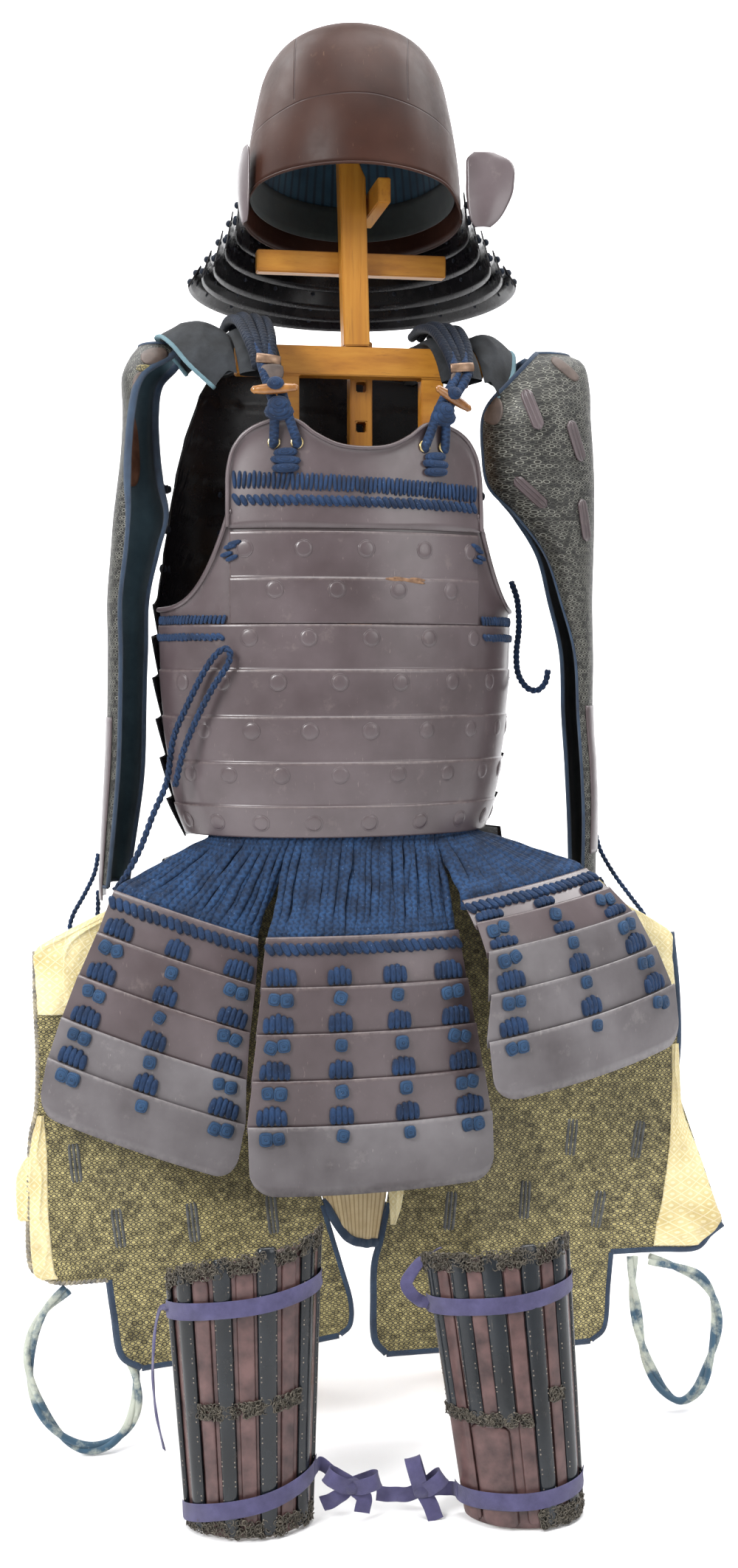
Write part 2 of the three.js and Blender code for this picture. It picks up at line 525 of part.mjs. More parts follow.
function addHelmet() {
  const bowlRows = BOWL.map(({ z, halfWidth, halfDepth }) =>
    row(HELMET.columns - 1, (t) => {
      const p = ringPoint(halfWidth, halfDepth, z, t * 360 * (1 - 1 / HELMET.columns));
      p.z += browRise(p.y) * (1 - Math.min(z / 86, 1));
      return p;
    }));
  helmet.add(piece('helmet_bowl', wall(bowlRows, 2, { around: true }), LACQUER));

  const inset = 4;
  const sides = 12;
  const liningRows = BOWL.slice(1).map(({ z, halfWidth, halfDepth }) => row(sides - 1, (t) => ringPoint(
    Math.max(halfWidth - inset, 0), Math.max(halfDepth - inset, 0), z - inset, t * 360 * (1 - 1 / sides))));
  helmet.add(piece('helmet_lining', wall(liningRows, 2, { around: true }), INDIGO_CLOTH));

  NECK_LAMES.forEach((lame, k) => {
    const deeper = NECK.deeper - NECK.lessDeepPerLame * k;
    const rows = [[lame.top, lame.topHalfWidth], [lame.bottom, lame.bottomHalfWidth]].map(([z, half]) =>
      row(NECK.columns, (t) => {
        const degrees = lame.end + t * (180 - 2 * lame.end);
        const rise = NECK.backRise * Math.max(Math.sin(rad(degrees)), 0);
        return ringPoint(half, half + deeper, z + rise, degrees);
      }));
    helmet.add(piece(`neck_lame_${k + 1}`, wall(rows, -IRON), BLACK_LACQUER));
  });

  for (const [name, turn, x, y] of [['left', -73, -112, -88], ['right', 6, 126, -58]]) {
    const side = name === 'left' ? -1 : 1;
    const rows = WING.map(({ z, near, far }) => row(5, (t) => {
      const reach = near + (far - near) * t;
      const bulge = 5 * Math.sin(Math.PI * t) * Math.sin(Math.PI * Math.min(0.15 + z / 110, 1));
      return v3(side * reach, -bulge, z);
    }));
    const wing = piece(`helmet_wing_${name}`, wall(rows, IRON), LACQUER);
    wing.position.set(x, y, -26);
    wing.rotation.z = rad(turn);
    helmet.add(wing);
  }
}

// ---------------------------------------------------------------- cuirass

// A point of the cuirass at an angle from the middle of the front, to the viewer's right, moved out.
function trunkPoint(degrees, z, out = 0) {
  const halfWidth = lookUp(TRUNK, 'z', 'halfWidth', z) + out;
  const halfDepth = lookUp(TRUNK, 'z', 'halfDepth', z) + out;
  return v3(halfWidth * Math.sin(rad(degrees)), -halfDepth * Math.cos(rad(degrees)), z);
}

const angleAt = (x) => THREE.MathUtils.radToDeg(Math.asin(x / lookUp(TRUNK, 'z', 'halfWidth', 1003)));

function addCuirass() {
  const chest = angleAt(CHEST_HALF);

  // Columns on both sides of the narrow lames' ends are doubled, so that their edges stand proud.
  const edge = 0.4;
  const inner = row(12, (t) => -chest + 2 * chest * t);
  const outer = row(4, (t) => chest + edge + (FRONT_REACH - chest - edge) * t ** 1.5);
  const columns = [...outer.map((a) => -a).reverse(), ...inner, ...outer];

  const sideTop = (angle) => {
    const t = (Math.abs(angle) - chest) / (FRONT_REACH - chest);
    return THREE.MathUtils.lerp(1024, SIDE_TOP, 1 - (1 - THREE.MathUtils.clamp(t, 0, 1)) ** 4);
  };
  const fullTop = FRONT_EDGES[FRONT_EDGES.length - 1];
  const rows = [];
  for (let k = 0; k + 1 < FRONT_EDGES.length; k++) {
    rows.push(columns.map((angle) => trunkPoint(angle, FRONT_EDGES[k])));
    rows.push(columns.map((angle) => trunkPoint(angle, FRONT_EDGES[k + 1] - 1, LAME_STEP)));
  }
  const levels = [
    { z: fullTop, out: 0 }, { z: CHEST_EDGES[0] - 1, out: LAME_STEP },
    { z: CHEST_EDGES[0], out: 0 }, { z: CHEST_EDGES[1] - 1, out: LAME_STEP },
    { z: CHEST_EDGES[1], out: -2.3 }, { z: CHEST_TOP, out: -2.5 },
  ];
  for (const { z, out } of levels) {
    rows.push(columns.map((angle) => {
      if (Math.abs(angle) <= chest + 1e-6) return trunkPoint(angle, z, out);
      const share = (z - fullTop) / (CHEST_TOP - fullTop);
      return trunkPoint(angle, fullTop + share * (sideTop(angle) - fullTop), -2.5);
    }));
  }
  trunk.add(piece('cuirass_front', wall(rows, 1.8), LACQUER));

  const plateColumns = row(22, (t) => -CHEST_HALF * Math.cos(Math.PI * t));
  const plateRows = row(4, (t) => plateColumns.map((x) => {
    const top = lookUp(TOP_PLATE, 'x', 'top', Math.abs(x));
    const z = THREE.MathUtils.lerp(TOP_PLATE_FOOT, top, t);
    return trunkPoint(angleAt(x), z, t > 0.95 ? 2.6 : 0.4);
  }));
  trunk.add(piece('cuirass_top_plate', wall(plateRows, 2), LACQUER));

  const backColumns = row(18, (t) => THREE.MathUtils.lerp(180 - BACK_REACH, 180 + BACK_REACH, t));
  const backLevels = [664, 710, 758, 808, 858, SIDE_TOP - 6];
  const backRows = backLevels.map((z) => backColumns.map((a) => trunkPoint(a, z, 0)));
  for (const share of [0.25, 0.5, 0.75, 1]) {
    backRows.push(backColumns.map((angle) => {
      const x = Math.abs(Math.sin(rad(angle))) * 209;
      const top = lookUp(BACK_PLATE, 'x', 'top', x);
      const z = THREE.MathUtils.lerp(SIDE_TOP - 6, top, share);
      return trunkPoint(angle, z, 0);
    }));
  }
  trunk.add(piece('cuirass_back', wall(backRows, 1.8), BLACK_LACQUER));
}

// ---------------------------------------------------------------- shoulder straps, pads and fastenings

function addShoulders() {
  const { width, thickness, middleLeft, middleRight } = STRAP_SIZE;
  for (const [name, side, middle] of [['left', -1, middleLeft], ['right', 1, middleRight]]) {
    const strapRows = STRAP.map(({ y, z }) => row(3, (t) => {
      const across = t * 2 - 1;
      return v3(side * (middle + across * width / 2), y, z - 2 * across * across);
    }));
    trunk.add(piece(`shoulder_strap_${name}`, wall(strapRows, side * thickness), DARK_CLOTH));

    const padEdge = middle + width / 2 + 3.5;
    const padRows = STRAP.map(({ y, z }, k) => row(3, (t) => {
      const { reach, droop } = PAD[k];
      const crown = 7 * Math.sin(Math.PI * t);
      const x = padEdge + reach * PAD_SHARE[name] * t;
      return v3(side * x, y * (1 - 0.06 * t), z + crown - droop * t * 2 - 1);
    }));
    trunk.add(piece(`shoulder_pad_${name}`, wall(padRows, side * PAD_THICKNESS), DARK_CLOTH));
    trunk.add(piece(`strap_cord_${name}`, strapCord(side, middle), LACE));
  }
}

// Two cords from the strap's end down to the eyelets of the top plate, with the toggle across them.
function strapCord(side, middle) {
  const out = (x, z, away) => {
    const p = trunkPoint(angleAt(x), z, away);
    return v3(side * p.x, p.y, p.z);
  };
  const strands = [-1, 1].map((hand) => cord([
    v3(side * (middle - 4 + hand * 9), -100, 1186),
    out((middle + 92) / 2 + hand * 8, 1164, 12),
    out(92 + hand * 4, 1146, 10),
    out(88 + hand * 8, 1122, 9),
    out(84 + hand * 12, 1097, 8),
  ], 5.4, 6, 6));
  const knot = new THREE.SphereGeometry(11, 7, 5);
  knot.rotateX(Math.PI / 2);
  knot.scale(1.35, 0.8, 0.8);
  const place = out(91, 1136, 10);
  knot.translate(place.x, place.y, place.z);
  const toggle = new THREE.CylinderGeometry(5.5, 5.5, 50, 6);
  toggle.scale(1, 1, 0.8);
  toggle.rotateZ(Math.PI / 2 - (side > 0 ? rad(TOGGLE_TILT) : 0));
  const front = out(94, 1149, 15);
  toggle.translate(front.x, front.y, front.z);
  return joined(...strands, knot, toggle);
}

// ---------------------------------------------------------------- sleeves

const SLEEVE_COLUMNS = 13;

function sleeveRows(table) {
  return table.map(({ z, x, y, halfWidth, halfDepth, from, to }) => row(SLEEVE_COLUMNS, (t) => {
    const angle = rad(THREE.MathUtils.lerp(from, to, t));
    return v3(x + halfWidth * Math.cos(angle), y + halfDepth * Math.sin(angle), z);
  }));
}

function addSleeves() {
  armour.add(piece('sleeve_right', wall(sleeveRows(SLEEVE_RIGHT), -CLOTH), MAIL));
  armour.add(piece('sleeve_left', wall(sleeveRows(SLEEVE_LEFT), -CLOTH), MAIL));
}

// ---------------------------------------------------------------- tassets and their lacing

// A point of a tasset: across in -1..1 of its half width, down from its top edge, out to the front.
function tassetPoint({ tops, topHalf, lastHalf }, across, down, out) {
  const last = tops[tops.length - 2].down;
  const half = THREE.MathUtils.mapLinear(Math.min(down, last), 0, last, topHalf, lastHalf);
  const x = across * half;
  const aside = tops[0].aside === undefined ? 0 : lookUp(tops, 'down', 'aside', Math.max(down, 0));
  return v3(x + aside, x * x / (2 * TASSET.bow) - out, -down);
}

// A lame starts a step proud of the lame above it and ends behind the one below.
function lameRows(tasset, k) {
  const [a, b] = [tasset.tops[k], tasset.tops[k + 1]];
  const last = k === tasset.tops.length - 2;
  const length = Math.hypot(b.down - a.down, b.out - a.out);
  const along = { down: (b.down - a.down) / length, out: (b.out - a.out) / length };
  const columns = [-1, -0.97, -0.9, -0.72, -0.36, 0, 0.36, 0.72, 0.9, 0.97, 1];
  const cornerLift = (across) => {
    const beyond = (Math.abs(across) - 0.8) / 0.2;
    return last && beyond > 0 ? TASSET.corner * (1 - Math.sqrt(Math.max(1 - beyond * beyond, 0))) : 0;
  };
  const levels = last ? [0, 0.4, 1] : [0, 1];
  return levels.map((share) => columns.map((across) => {
    const reach = length * share + (share === 1 ? (last ? -cornerLift(across) : TASSET.overlap) : 0);
    const proud = k > 0 ? TASSET.step * (1 - share) : 0;
    const down = a.down + along.down * reach - along.out * proud;
    return tassetPoint(tasset, across, down, a.out + along.out * reach + along.down * proud);
  }));
}

function tassetGroup({ x, y, z, yaw, roll }) {
  const group = new THREE.Group();
  group.position.set(x, y, z);
  group.rotation.set(0, rad(roll), rad(yaw), 'ZYX');
  group.updateMatrix();
  return group;
}

// The lacing hangs from inside the cuirass's lower edge to behind the tasset's top lame, in soft pleats.
function skirtRows(tasset, matrix) {
  const { skirtFrom, skirtTo } = tasset;
  const levels = [
    { share: 0, down: -3 }, { share: 0.4, down: -3 }, { share: 0.8, down: -3 },
    { share: 1, down: SKIRT.tuck },
  ];
  const along = (t) => skirtFrom + (skirtTo - skirtFrom) * t;
  const inside = (t, z) => trunkPoint(along(t), z, -SKIRT.inside).applyMatrix4(trunk.matrix);
  return [
    row(SKIRT.columns, (t) => inside(t, SKIRT.top)),
    ...levels.map(({ share, down }) => row(SKIRT.columns, (t) => {
      const foot = tassetPoint(tasset, (t * 2 - 1) * 0.97, down, -SKIRT.behind).applyMatrix4(matrix);
      const p = inside(t, SKIRT.edge).lerp(foot, share);
      p.y += SKIRT.pleat * Math.cos(Math.PI * SKIRT.columns * t) * Math.sin(Math.PI * share);
      return p;
    })),
  ];
}

function addTassets() {
  for (const tasset of TASSETS) {
    const group = tassetGroup(tasset);
    armour.add(group);
    for (let k = 0; k + 1 < tasset.tops.length; k++) {
      group.add(piece(`tasset_${tasset.name}_${k + 1}`, wall(lameRows(tasset, k), -IRON), LACQUER));
    }
    armour.add(piece(`lacing_${tasset.name}`, wall(skirtRows(tasset, group.matrix), -SKIRT.thickness), LACE));
  }
  for (const { name, angle, z } of REAR_TASSETS) {
    const tasset = { ...REAR, tops: REAR.tops.map((down) => ({ down })) };
    const place = trunkPoint(angle, 680, REAR.out);
    const group = new THREE.Group();
    group.position.set(place.x, place.y, z);
    group.rotation.set(rad(-REAR.flare), 0, rad(angle), 'ZYX');
    trunk.add(group);
    const rows = REAR.tops.slice(0, -1).flatMap((top, k) => [
      row(6, (t) => tassetPoint(tasset, t * 2 - 1, top, k * 2 + REAR.step)),
      row(6, (t) => tassetPoint(tasset, t * 2 - 1, REAR.tops[k + 1] - 1.5, k * 2)),
    ]);
    group.add(piece(`tasset_${name}`, wall(rows, -IRON), BLACK_LACQUER));
  }
}

// ---------------------------------------------------------------- thigh guard

function thighY(x, z) {
  const wave = THIGH.wave * Math.sin(x / 46 + z / 90) * Math.min((620 - z) / 120, 1);
  return THIGH.topY - THIGH.slope * (620 - z) + wave;
}

function thighRows(table, side) {
  const { outerCells, innerCells } = THIGH;
  return table.map(({ z, outer, notch, inner, lift }) => {
    const xs = [
      ...row(outerCells, (t) => THREE.MathUtils.lerp(outer, notch, t)).slice(0, -1),
      ...row(innerCells, (t) => THREE.MathUtils.lerp(notch, inner, t)),
    ];
    return xs.map((x) => {
      const height = z + lift * THREE.MathUtils.clamp((notch - x) / (notch - inner), 0, 1);
      return v3(side * x, thighY(side * x, height), height);
    });
  });
}

function addThighGuard() {
  const keep = (i, j) => i < THIGH.notchRow || j >= THIGH.outerCells;
  stand.add(piece('thigh_guard_left', wall(thighRows(THIGH_LEFT, -1), CLOTH, { keep }), GOLD_MAIL));
  stand.add(piece('thigh_guard_right', wall(thighRows(THIGH_RIGHT, 1), -CLOTH, { keep }), GOLD_MAIL));

  const gussetRows = GUSSET_ROWS.map((z, k) => row(4, (t) => {
    const low = k === GUSSET_ROWS.length - 1 ? 50 * (1 - (1 - t) * (1 - t)) : 0;
    const height = z - low;
    const left = -lookUp(THIGH_LEFT, 'z', 'inner', height) + 1;
    const right = lookUp(THIGH_RIGHT, 'z', 'inner', height) - 1;
    const x = THREE.MathUtils.lerp(left, right, t);
    return v3(x, thighY(x, height) - 4 * Math.sin(Math.PI * t), height);
  }));
  stand.add(piece('thigh_gusset', wall(gussetRows, CLOTH), BROCADE));

  for (const [name, points] of [['left', LOOP_LEFT], ['right', LOOP_RIGHT]]) {
    const { radius, behind, steps, sides } = THIGH_LOOP;
    const route = points.map(({ x, z }) => v3(x, THIGH.topY - THIGH.slope * (620 - z) + behind, z));
    stand.add(piece(`thigh_loop_${name}`, cord(route, radius, steps, sides), PALE_CLOTH));
  }
}

// ---------------------------------------------------------------- shin guards

function shinPoint(shin, degrees, z, out) {
  const t = z / shin.topHigh;
  const half = THREE.MathUtils.lerp(shin.footHalf, shin.topHalf, t) + out;
  const deep = SHIN.depth + out;
  const angle = rad(degrees);
  const local = v3(half * Math.sin(angle), -deep * Math.cos(angle), z);
  local.applyAxisAngle(v3(0, 0, 1), rad(shin.yaw));
  local.x += THREE.MathUtils.lerp(shin.footX, shin.topX, t);
  local.y += THREE.MathUtils.lerp(shin.footY, shin.topY, t);
  return local;
}

// A body that stands on the floor keeps nothing below it.
function standing(geometry) {
  const position = geometry.attributes.position;
  for (let k = 0; k < position.count; k++) position.setZ(k, Math.max(position.getZ(k), 0));
  return geometry;
}

// A flat ribbon through points, its width along the given direction.
function ribbon(points, width, across, thickness) {
  const side = across.clone().normalize().multiplyScalar(width / 2);
  const rows = points.map((p) => [p.clone().sub(side), p.clone().add(side)]);
  return wall(rows, thickness);
}

function addShinGuards() {
  for (const shin of SHINS) {
    const rows = row(SHIN.rows, (share) => row(SHIN.columns, (t) => {
      const degrees = THREE.MathUtils.lerp(-SHIN.reach, SHIN.reach, t);
      const top = THREE.MathUtils.lerp(shin.topLow, shin.topHigh, Math.sqrt(t));
      return shinPoint(shin, degrees, share * top, 0);
    }));
    armour.add(piece(`shin_guard_${shin.name}`, standing(wall(rows, SHIN_THICKNESS)), SPLINT));
    armour.add(piece(`shin_tie_${shin.name}`, shinTie(shin), RIBBON));
  }
}

// The lower tie: a ribbon round the front of the guard that ends in a bow on the floor beside it.
function shinTie(shin) {
  const { tieSide, tieFrom, tieTo } = shin;
  const half = TIE.width / 2;
  const band = [-half, half].map((up) => row(TIE.columns, (t) => {
    const degrees = THREE.MathUtils.lerp(-TIE.reach, TIE.reach, t);
    const z = THREE.MathUtils.lerp(tieFrom, tieTo, t) + up;
    return shinPoint(shin, degrees, Math.max(z, 1), TIE.thickness + TIE.away);
  }));
  const start = shinPoint(shin, tieSide * TIE.reach, tieSide > 0 ? tieTo : tieFrom, TIE.thickness + TIE.away);
  const knot = start.clone().add(v3(tieSide * 32, -8, 28 - start.z));
  const lead = ribbon([
    start.clone().add(v3(-tieSide * 0.6, -2, 0)),
    start.clone().lerp(knot, 0.5).add(v3(0, 0, 2)),
    knot,
  ], TIE.width - 2, v3(0, 0, 1), tieSide * 2);
  const lump = new THREE.SphereGeometry(9, 7, 5);
  lump.translate(knot.x, knot.y, knot.z);
  const tails = [-1, 1].map((hand) => ribbon([
    knot.clone(),
    knot.clone().add(v3(tieSide * 8 + hand * 10, -6, -14)),
    knot.clone().add(v3(tieSide * 12 + hand * 24, -10, -25)),
  ], TIE.width - 2, v3(hand, 0.6, 0.5), 2));
  const loops = [-1, 1].map((hand) => {
    const ring = new THREE.TorusGeometry(11, 3.4, 5, 10);
    ring.scale(1.25, 1, 0.9);
    ring.rotateX(Math.PI / 2.3);
    ring.rotateY(hand * 0.4);
    ring.translate(knot.x + hand * 19, knot.y - 2, knot.z + 4);
    return ring;
  });
  return standing(joined(standing(wall(band, TIE.thickness)), lead, lump, ...tails, ...loops));
}

// ---------------------------------------------------------------- free cords

function addCords() {
  const route = (points) => points.map(({ x, y, z }) => v3(x, y, z));
  armour.add(piece('waist_cord', cord(route(WAIST_CORD_POINTS), WAIST_CORD.radius, WAIST_CORD.steps), LACE));
  const thin = {
    side_cord: SIDE_CORD_POINTS, wrist_cord_left: WRIST_LEFT_POINTS, wrist_cord_right: WRIST_RIGHT_POINTS,
  };
  for (const [name, points] of Object.entries(thin)) {
    armour.add(piece(name, cord(route(points), THIN_CORD.radius, THIN_CORD.steps), LACE));
  }
}

addStand();
addHelmet();
addCuirass();
addShoulders();
addSleeves();
addTassets();
addThighGuard();
addShinGuards();
addCords();

export default armour;
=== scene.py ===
# %% [markdown]
# # A samurai armour on its wooden stand
#
# This notebook dresses the plain solids of a Japanese armour: helmet, laced cuirass, mail sleeves,
# hanging tassets, thigh guard and shin guards. The solids already have the right size and place.
# What is added here is what the eye looks for: rolled edges, rivets, braided lace, knots, mail,
# brocade and worn lacquer. Every new shape is a surface worked out as whole numpy arrays, because
# armour is built from bent sheets, and a bent sheet is a function of two parameters.

# %% Load the frame
import math

import bmesh
import bpy
import numpy as np
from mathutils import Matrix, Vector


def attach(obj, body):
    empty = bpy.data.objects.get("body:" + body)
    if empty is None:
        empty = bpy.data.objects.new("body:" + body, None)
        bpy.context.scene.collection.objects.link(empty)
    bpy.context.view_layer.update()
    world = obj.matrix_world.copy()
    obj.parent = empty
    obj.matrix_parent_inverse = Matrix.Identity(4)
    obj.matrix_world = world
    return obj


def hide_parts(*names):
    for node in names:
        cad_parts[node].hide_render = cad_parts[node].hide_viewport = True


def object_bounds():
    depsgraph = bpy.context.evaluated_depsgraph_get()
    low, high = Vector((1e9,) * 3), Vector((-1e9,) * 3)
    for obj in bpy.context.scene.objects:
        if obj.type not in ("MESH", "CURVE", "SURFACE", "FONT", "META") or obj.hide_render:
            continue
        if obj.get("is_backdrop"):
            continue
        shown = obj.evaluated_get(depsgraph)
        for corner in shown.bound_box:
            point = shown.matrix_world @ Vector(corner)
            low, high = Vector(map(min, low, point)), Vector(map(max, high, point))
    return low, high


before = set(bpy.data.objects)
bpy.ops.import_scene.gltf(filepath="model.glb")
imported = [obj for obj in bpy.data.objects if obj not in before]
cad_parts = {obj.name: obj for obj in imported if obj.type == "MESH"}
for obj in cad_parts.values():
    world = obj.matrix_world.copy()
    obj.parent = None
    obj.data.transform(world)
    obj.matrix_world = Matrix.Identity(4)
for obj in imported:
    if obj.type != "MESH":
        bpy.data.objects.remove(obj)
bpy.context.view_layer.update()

MM = 0.001

# %% [markdown]
# ## Camera
#
# The set is seen from straight in front, a little above two metres away, from the height of the
# chest and looking slightly down. A fairly long lens keeps the helmet and the shin guards in
# proportion.

# %% Camera
camera_data = bpy.data.cameras.new("camera")
camera_data.lens = 42.33
camera_data.sensor_width = 36.0
camera = bpy.data.objects.new("camera", camera_data)
camera.location = (-0.0191, -2.079, 0.86)
camera.rotation_euler = (math.radians(90 - 3.73), 0.0, 0.0)
bpy.context.scene.collection.objects.link(camera)
bpy.context.scene.camera = camera

# %% [markdown]
# ## Places
#
# The set is built in nested frames, as the solids are: the stand is turned a little on the floor,
# the cuirass hangs on it a little further round, the helmet tips back on its post, and each tasset
# hangs at its own angle. A place turns points given in millimetres in such a frame into metres in
# the common one.

# %% Places
MIDDLE = np.array([27.6, -51.0, 0.0])


def turned(axis, degrees):
    """The matrix of a turn about one axis."""
    c, s = math.cos(math.radians(degrees)), math.sin(math.radians(degrees))
    return {
        "x": np.array([[1, 0, 0], [0, c, -s], [0, s, c]]),
        "y": np.array([[c, 0, s], [0, 1, 0], [-s, 0, c]]),
        "z": np.array([[c, -s, 0], [s, c, 0], [0, 0, 1]]),
    }[axis]


def place(origin=(0, 0, 0), turn=np.eye(3)):
    """A function from millimetres in a turned and shifted frame to metres in the common frame."""
    return lambda points: (np.asarray(points, float) @ turn.T + np.asarray(origin) - MIDDLE) * MM


on_floor = place()
on_stand = place(turn=turned("z", 10))
on_trunk = place((-30, 0, 0), turned("z", 15))
on_helmet = place((-10.5, 0, 1362), turned("x", -5))


def column(table, key, name, at):
    """A column of a table read between its rows, which are in order of the key."""
    keys = [row[key] for row in table]
    values = [row[name] for row in table]
    order = np.argsort(keys)
    return np.interp(at, np.array(keys)[order], np.array(values)[order])


def unit(v):
    return v / np.maximum(np.linalg.norm(v, axis=-1, keepdims=True), 1e-12)


def smooth_path(points, steps):
    """A smooth curve through points. Between two of them a cubic blends their positions and the slopes given
    by their neighbours (Catmull-Rom), and the result is spaced evenly along its length."""
    p = np.asarray(points, float)
    ends = np.vstack([2 * p[0] - p[1], p, 2 * p[-1] - p[-2]])
    t = np.linspace(0, len(p) - 1, 40 * len(p))
    k = np.minimum(t.astype(int), len(p) - 2)
    t = (t - k)[:, None]
    a, b, c, d = ends[k], ends[k + 1], ends[k + 2], ends[k + 3]
    curve = 0.5 * (2 * b + (c - a) * t + (2 * a - 5 * b + 4 * c - d) * t**2 + (3 * b - a - 3 * c + d) * t**3)
    length = np.concatenate([[0], np.cumsum(np.linalg.norm(np.diff(curve, axis=0), axis=1))])
    at = np.linspace(0, length[-1], steps + 1)
    return np.stack([np.interp(at, length, curve[:, i]) for i in range(curve.shape[1])], -1)


def noise(x, y, seed=0):
    """A soft unevenness from a few crossed waves, about -1 to 1."""
    rng = np.random.default_rng(seed)
    f, g, h = rng.uniform(0.6, 1.6, (3, 6))
    phase = rng.uniform(0, 2 * math.pi, 6)
    turn = rng.uniform(0, 2 * math.pi, 6)
    waves = [h[k] * np.sin(f[k] * np.cos(turn[k]) * x + g[k] * np.sin(turn[k]) * y + phase[k])
             for k in range(6)]
    return sum(waves) / 4


# %% [markdown]
# ## From arrays to meshes
#
# A grid of points becomes a mesh of four-sided faces, and gets a texture map in metres measured
# along the middle row and column, so that weave and mail have their real scale. Repeated things,
# such as rivets and knots, are one small shape copied to many places in one mesh, which is light
# and quick.

# %% Mesh helpers
def mesh_object(name, vertices, faces, uv=None, wall=0.0, smooth=True, weld=0.0):
    """An object from arrays: vertices (n, 3) in metres, faces (m, 4), uv (m, 4, 2). wall is a thickness that
    is added on the inner side."""
    mesh = bpy.data.meshes.new(name)
    mesh.from_pydata(np.asarray(vertices).tolist(), [], np.asarray(faces).tolist())
    if uv is not None:
        mesh.uv_layers.new(name="cloth").data.foreach_set("uv", np.asarray(uv, np.float32).ravel())
    if weld:
        shell = bmesh.new()
        shell.from_mesh(mesh)
        bmesh.ops.remove_doubles(shell, verts=shell.verts, dist=weld)
        bmesh.ops.recalc_face_normals(shell, faces=shell.faces)
        shell.to_mesh(mesh)
        shell.free()
    mesh.shade_smooth() if smooth else mesh.shade_flat()
    result = bpy.data.objects.new(name, mesh)
    bpy.context.scene.collection.objects.link(result)
    if wall:
        solidify = result.modifiers.new("wall", "SOLIDIFY")
        solidify.thickness = abs(wall)
        solidify.offset = -1.0 if wall > 0 else 1.0
    return result


def grid_faces(rows, columns, around=False):
    """The four corners of each cell of a grid whose points are numbered row by row."""
    i = np.arange(rows - 1)[:, None]
    j = np.arange(columns if around else columns - 1)[None, :]
    right = (j + 1) % columns
    corners = [i * columns + j, i * columns + right, (i + 1) * columns + right, (i + 1) * columns + j]
    return np.stack(np.broadcast_arrays(*corners), -1).reshape(-1, 4)


def grid_uv(points, around=False):
    """Distances in metres along the middle row and column, for the four corners of each cell."""
    rows, columns = points.shape[:2]
    middle_row = points[rows // 2]
    if around:
        middle_row = np.vstack([middle_row, middle_row[:1]])
    u = np.concatenate([[0], np.cumsum(np.linalg.norm(np.diff(middle_row, axis=0), axis=1))])
    v = np.concatenate([[0], np.cumsum(np.linalg.norm(np.diff(points[:, columns // 2], axis=0), axis=1))])
    i, j = np.meshgrid(np.arange(rows - 1), np.arange(len(u) - 1), indexing="ij")
    corners = [(i, j), (i, j + 1), (i + 1, j + 1), (i + 1, j)]
    return np.stack([np.stack([u[b], v[a]], -1) for a, b in corners], 2).reshape(-1, 4, 2)


def surface(name, points, around=False, wall=0.0, weld=0.0, uv=None):
    """A sheet over a grid of points (rows, columns, 3)."""
    rows, columns = points.shape[:2]
    uv = grid_uv(points, around) if uv is None else uv
    return mesh_object(name, points.reshape(-1, 3), grid_faces(rows, columns, around), uv, wall, weld=weld)


def rings(path, radius, sides=10, reference=(0, -1, 0), flat=1.0):
    """The rings of a tube: each stands square to the path, and radius may change along it. flat squeezes
    the tube across the reference direction, as on a ribbon or a strap."""
    path = np.asarray(path, float)
    along = unit(np.gradient(path, axis=0))
    side = unit(np.cross(along, np.asarray(reference, float)))
    up = np.cross(side, along)
    radius = np.broadcast_to(np.asarray(radius, float), (len(path),))[:, None, None]
    angle = np.linspace(0, 2 * math.pi, sides, endpoint=False)[None, :, None]
    return path[:, None] + radius * (np.cos(angle) * side[:, None] + flat * np.sin(angle) * up[:, None])


def tube(path, radius, sides=10, reference=(0, -1, 0), flat=1.0):
    """A closed tube as (vertices, faces, uv): its rings, with each end drawn in to a point, and a map that
    runs once round it and in metres along it."""
    ring = rings(path, radius, sides, reference, flat)
    ring = np.concatenate([np.repeat(ring[:1].mean(1, keepdims=True), sides, 1), ring,
                           np.repeat(ring[-1:].mean(1, keepdims=True), sides, 1)])
    rows = len(ring)
    length = np.concatenate([[0], np.cumsum(np.linalg.norm(np.diff(ring.mean(1), axis=0), axis=1))])
    i, j = np.meshgrid(np.arange(rows - 1), np.arange(sides), indexing="ij")
    corners = [(i, j), (i, j + 1), (i + 1, j + 1), (i + 1, j)]
    uv = np.stack([np.stack([b / sides, length[a]], -1) for a, b in corners], 2)
    return ring.reshape(-1, 3), grid_faces(rows, sides, True), uv.reshape(-1, 4, 2)


def joined(shapes):
    """Several (vertices, faces, uv) as one."""
    starts = np.cumsum([0] + [len(v) for v, _, _ in shapes[:-1]])
    vertices = np.concatenate([v for v, _, _ in shapes])
    faces = np.concatenate([f + start for (_, f, _), start in zip(shapes, starts)])
    return vertices, faces, np.concatenate([uv for _, _, uv in shapes])


def twisted(path, radius, strands=2, pitch=0.016, sides=9):
    """Strands that wind round a path: each is the path plus a circle of half the radius, turned along it."""
    along = unit(np.gradient(path, axis=0))
    side = unit(np.cross(along, (0.15, -1, 0.1)))
    up = np.cross(side, along)
    far = np.concatenate([[0], np.cumsum(np.linalg.norm(np.diff(path, axis=0), axis=1))])
    shapes = []
    for k in range(strands):
        turn = (2 * math.pi * (far / pitch + k / strands))[:, None]
        core = path + radius * 0.46 * (np.cos(turn) * side + np.sin(turn) * up)
        shapes.append(tube(core, radius * 0.60, sides, reference=(0.15, -1, 0.1)))
    return joined(shapes)


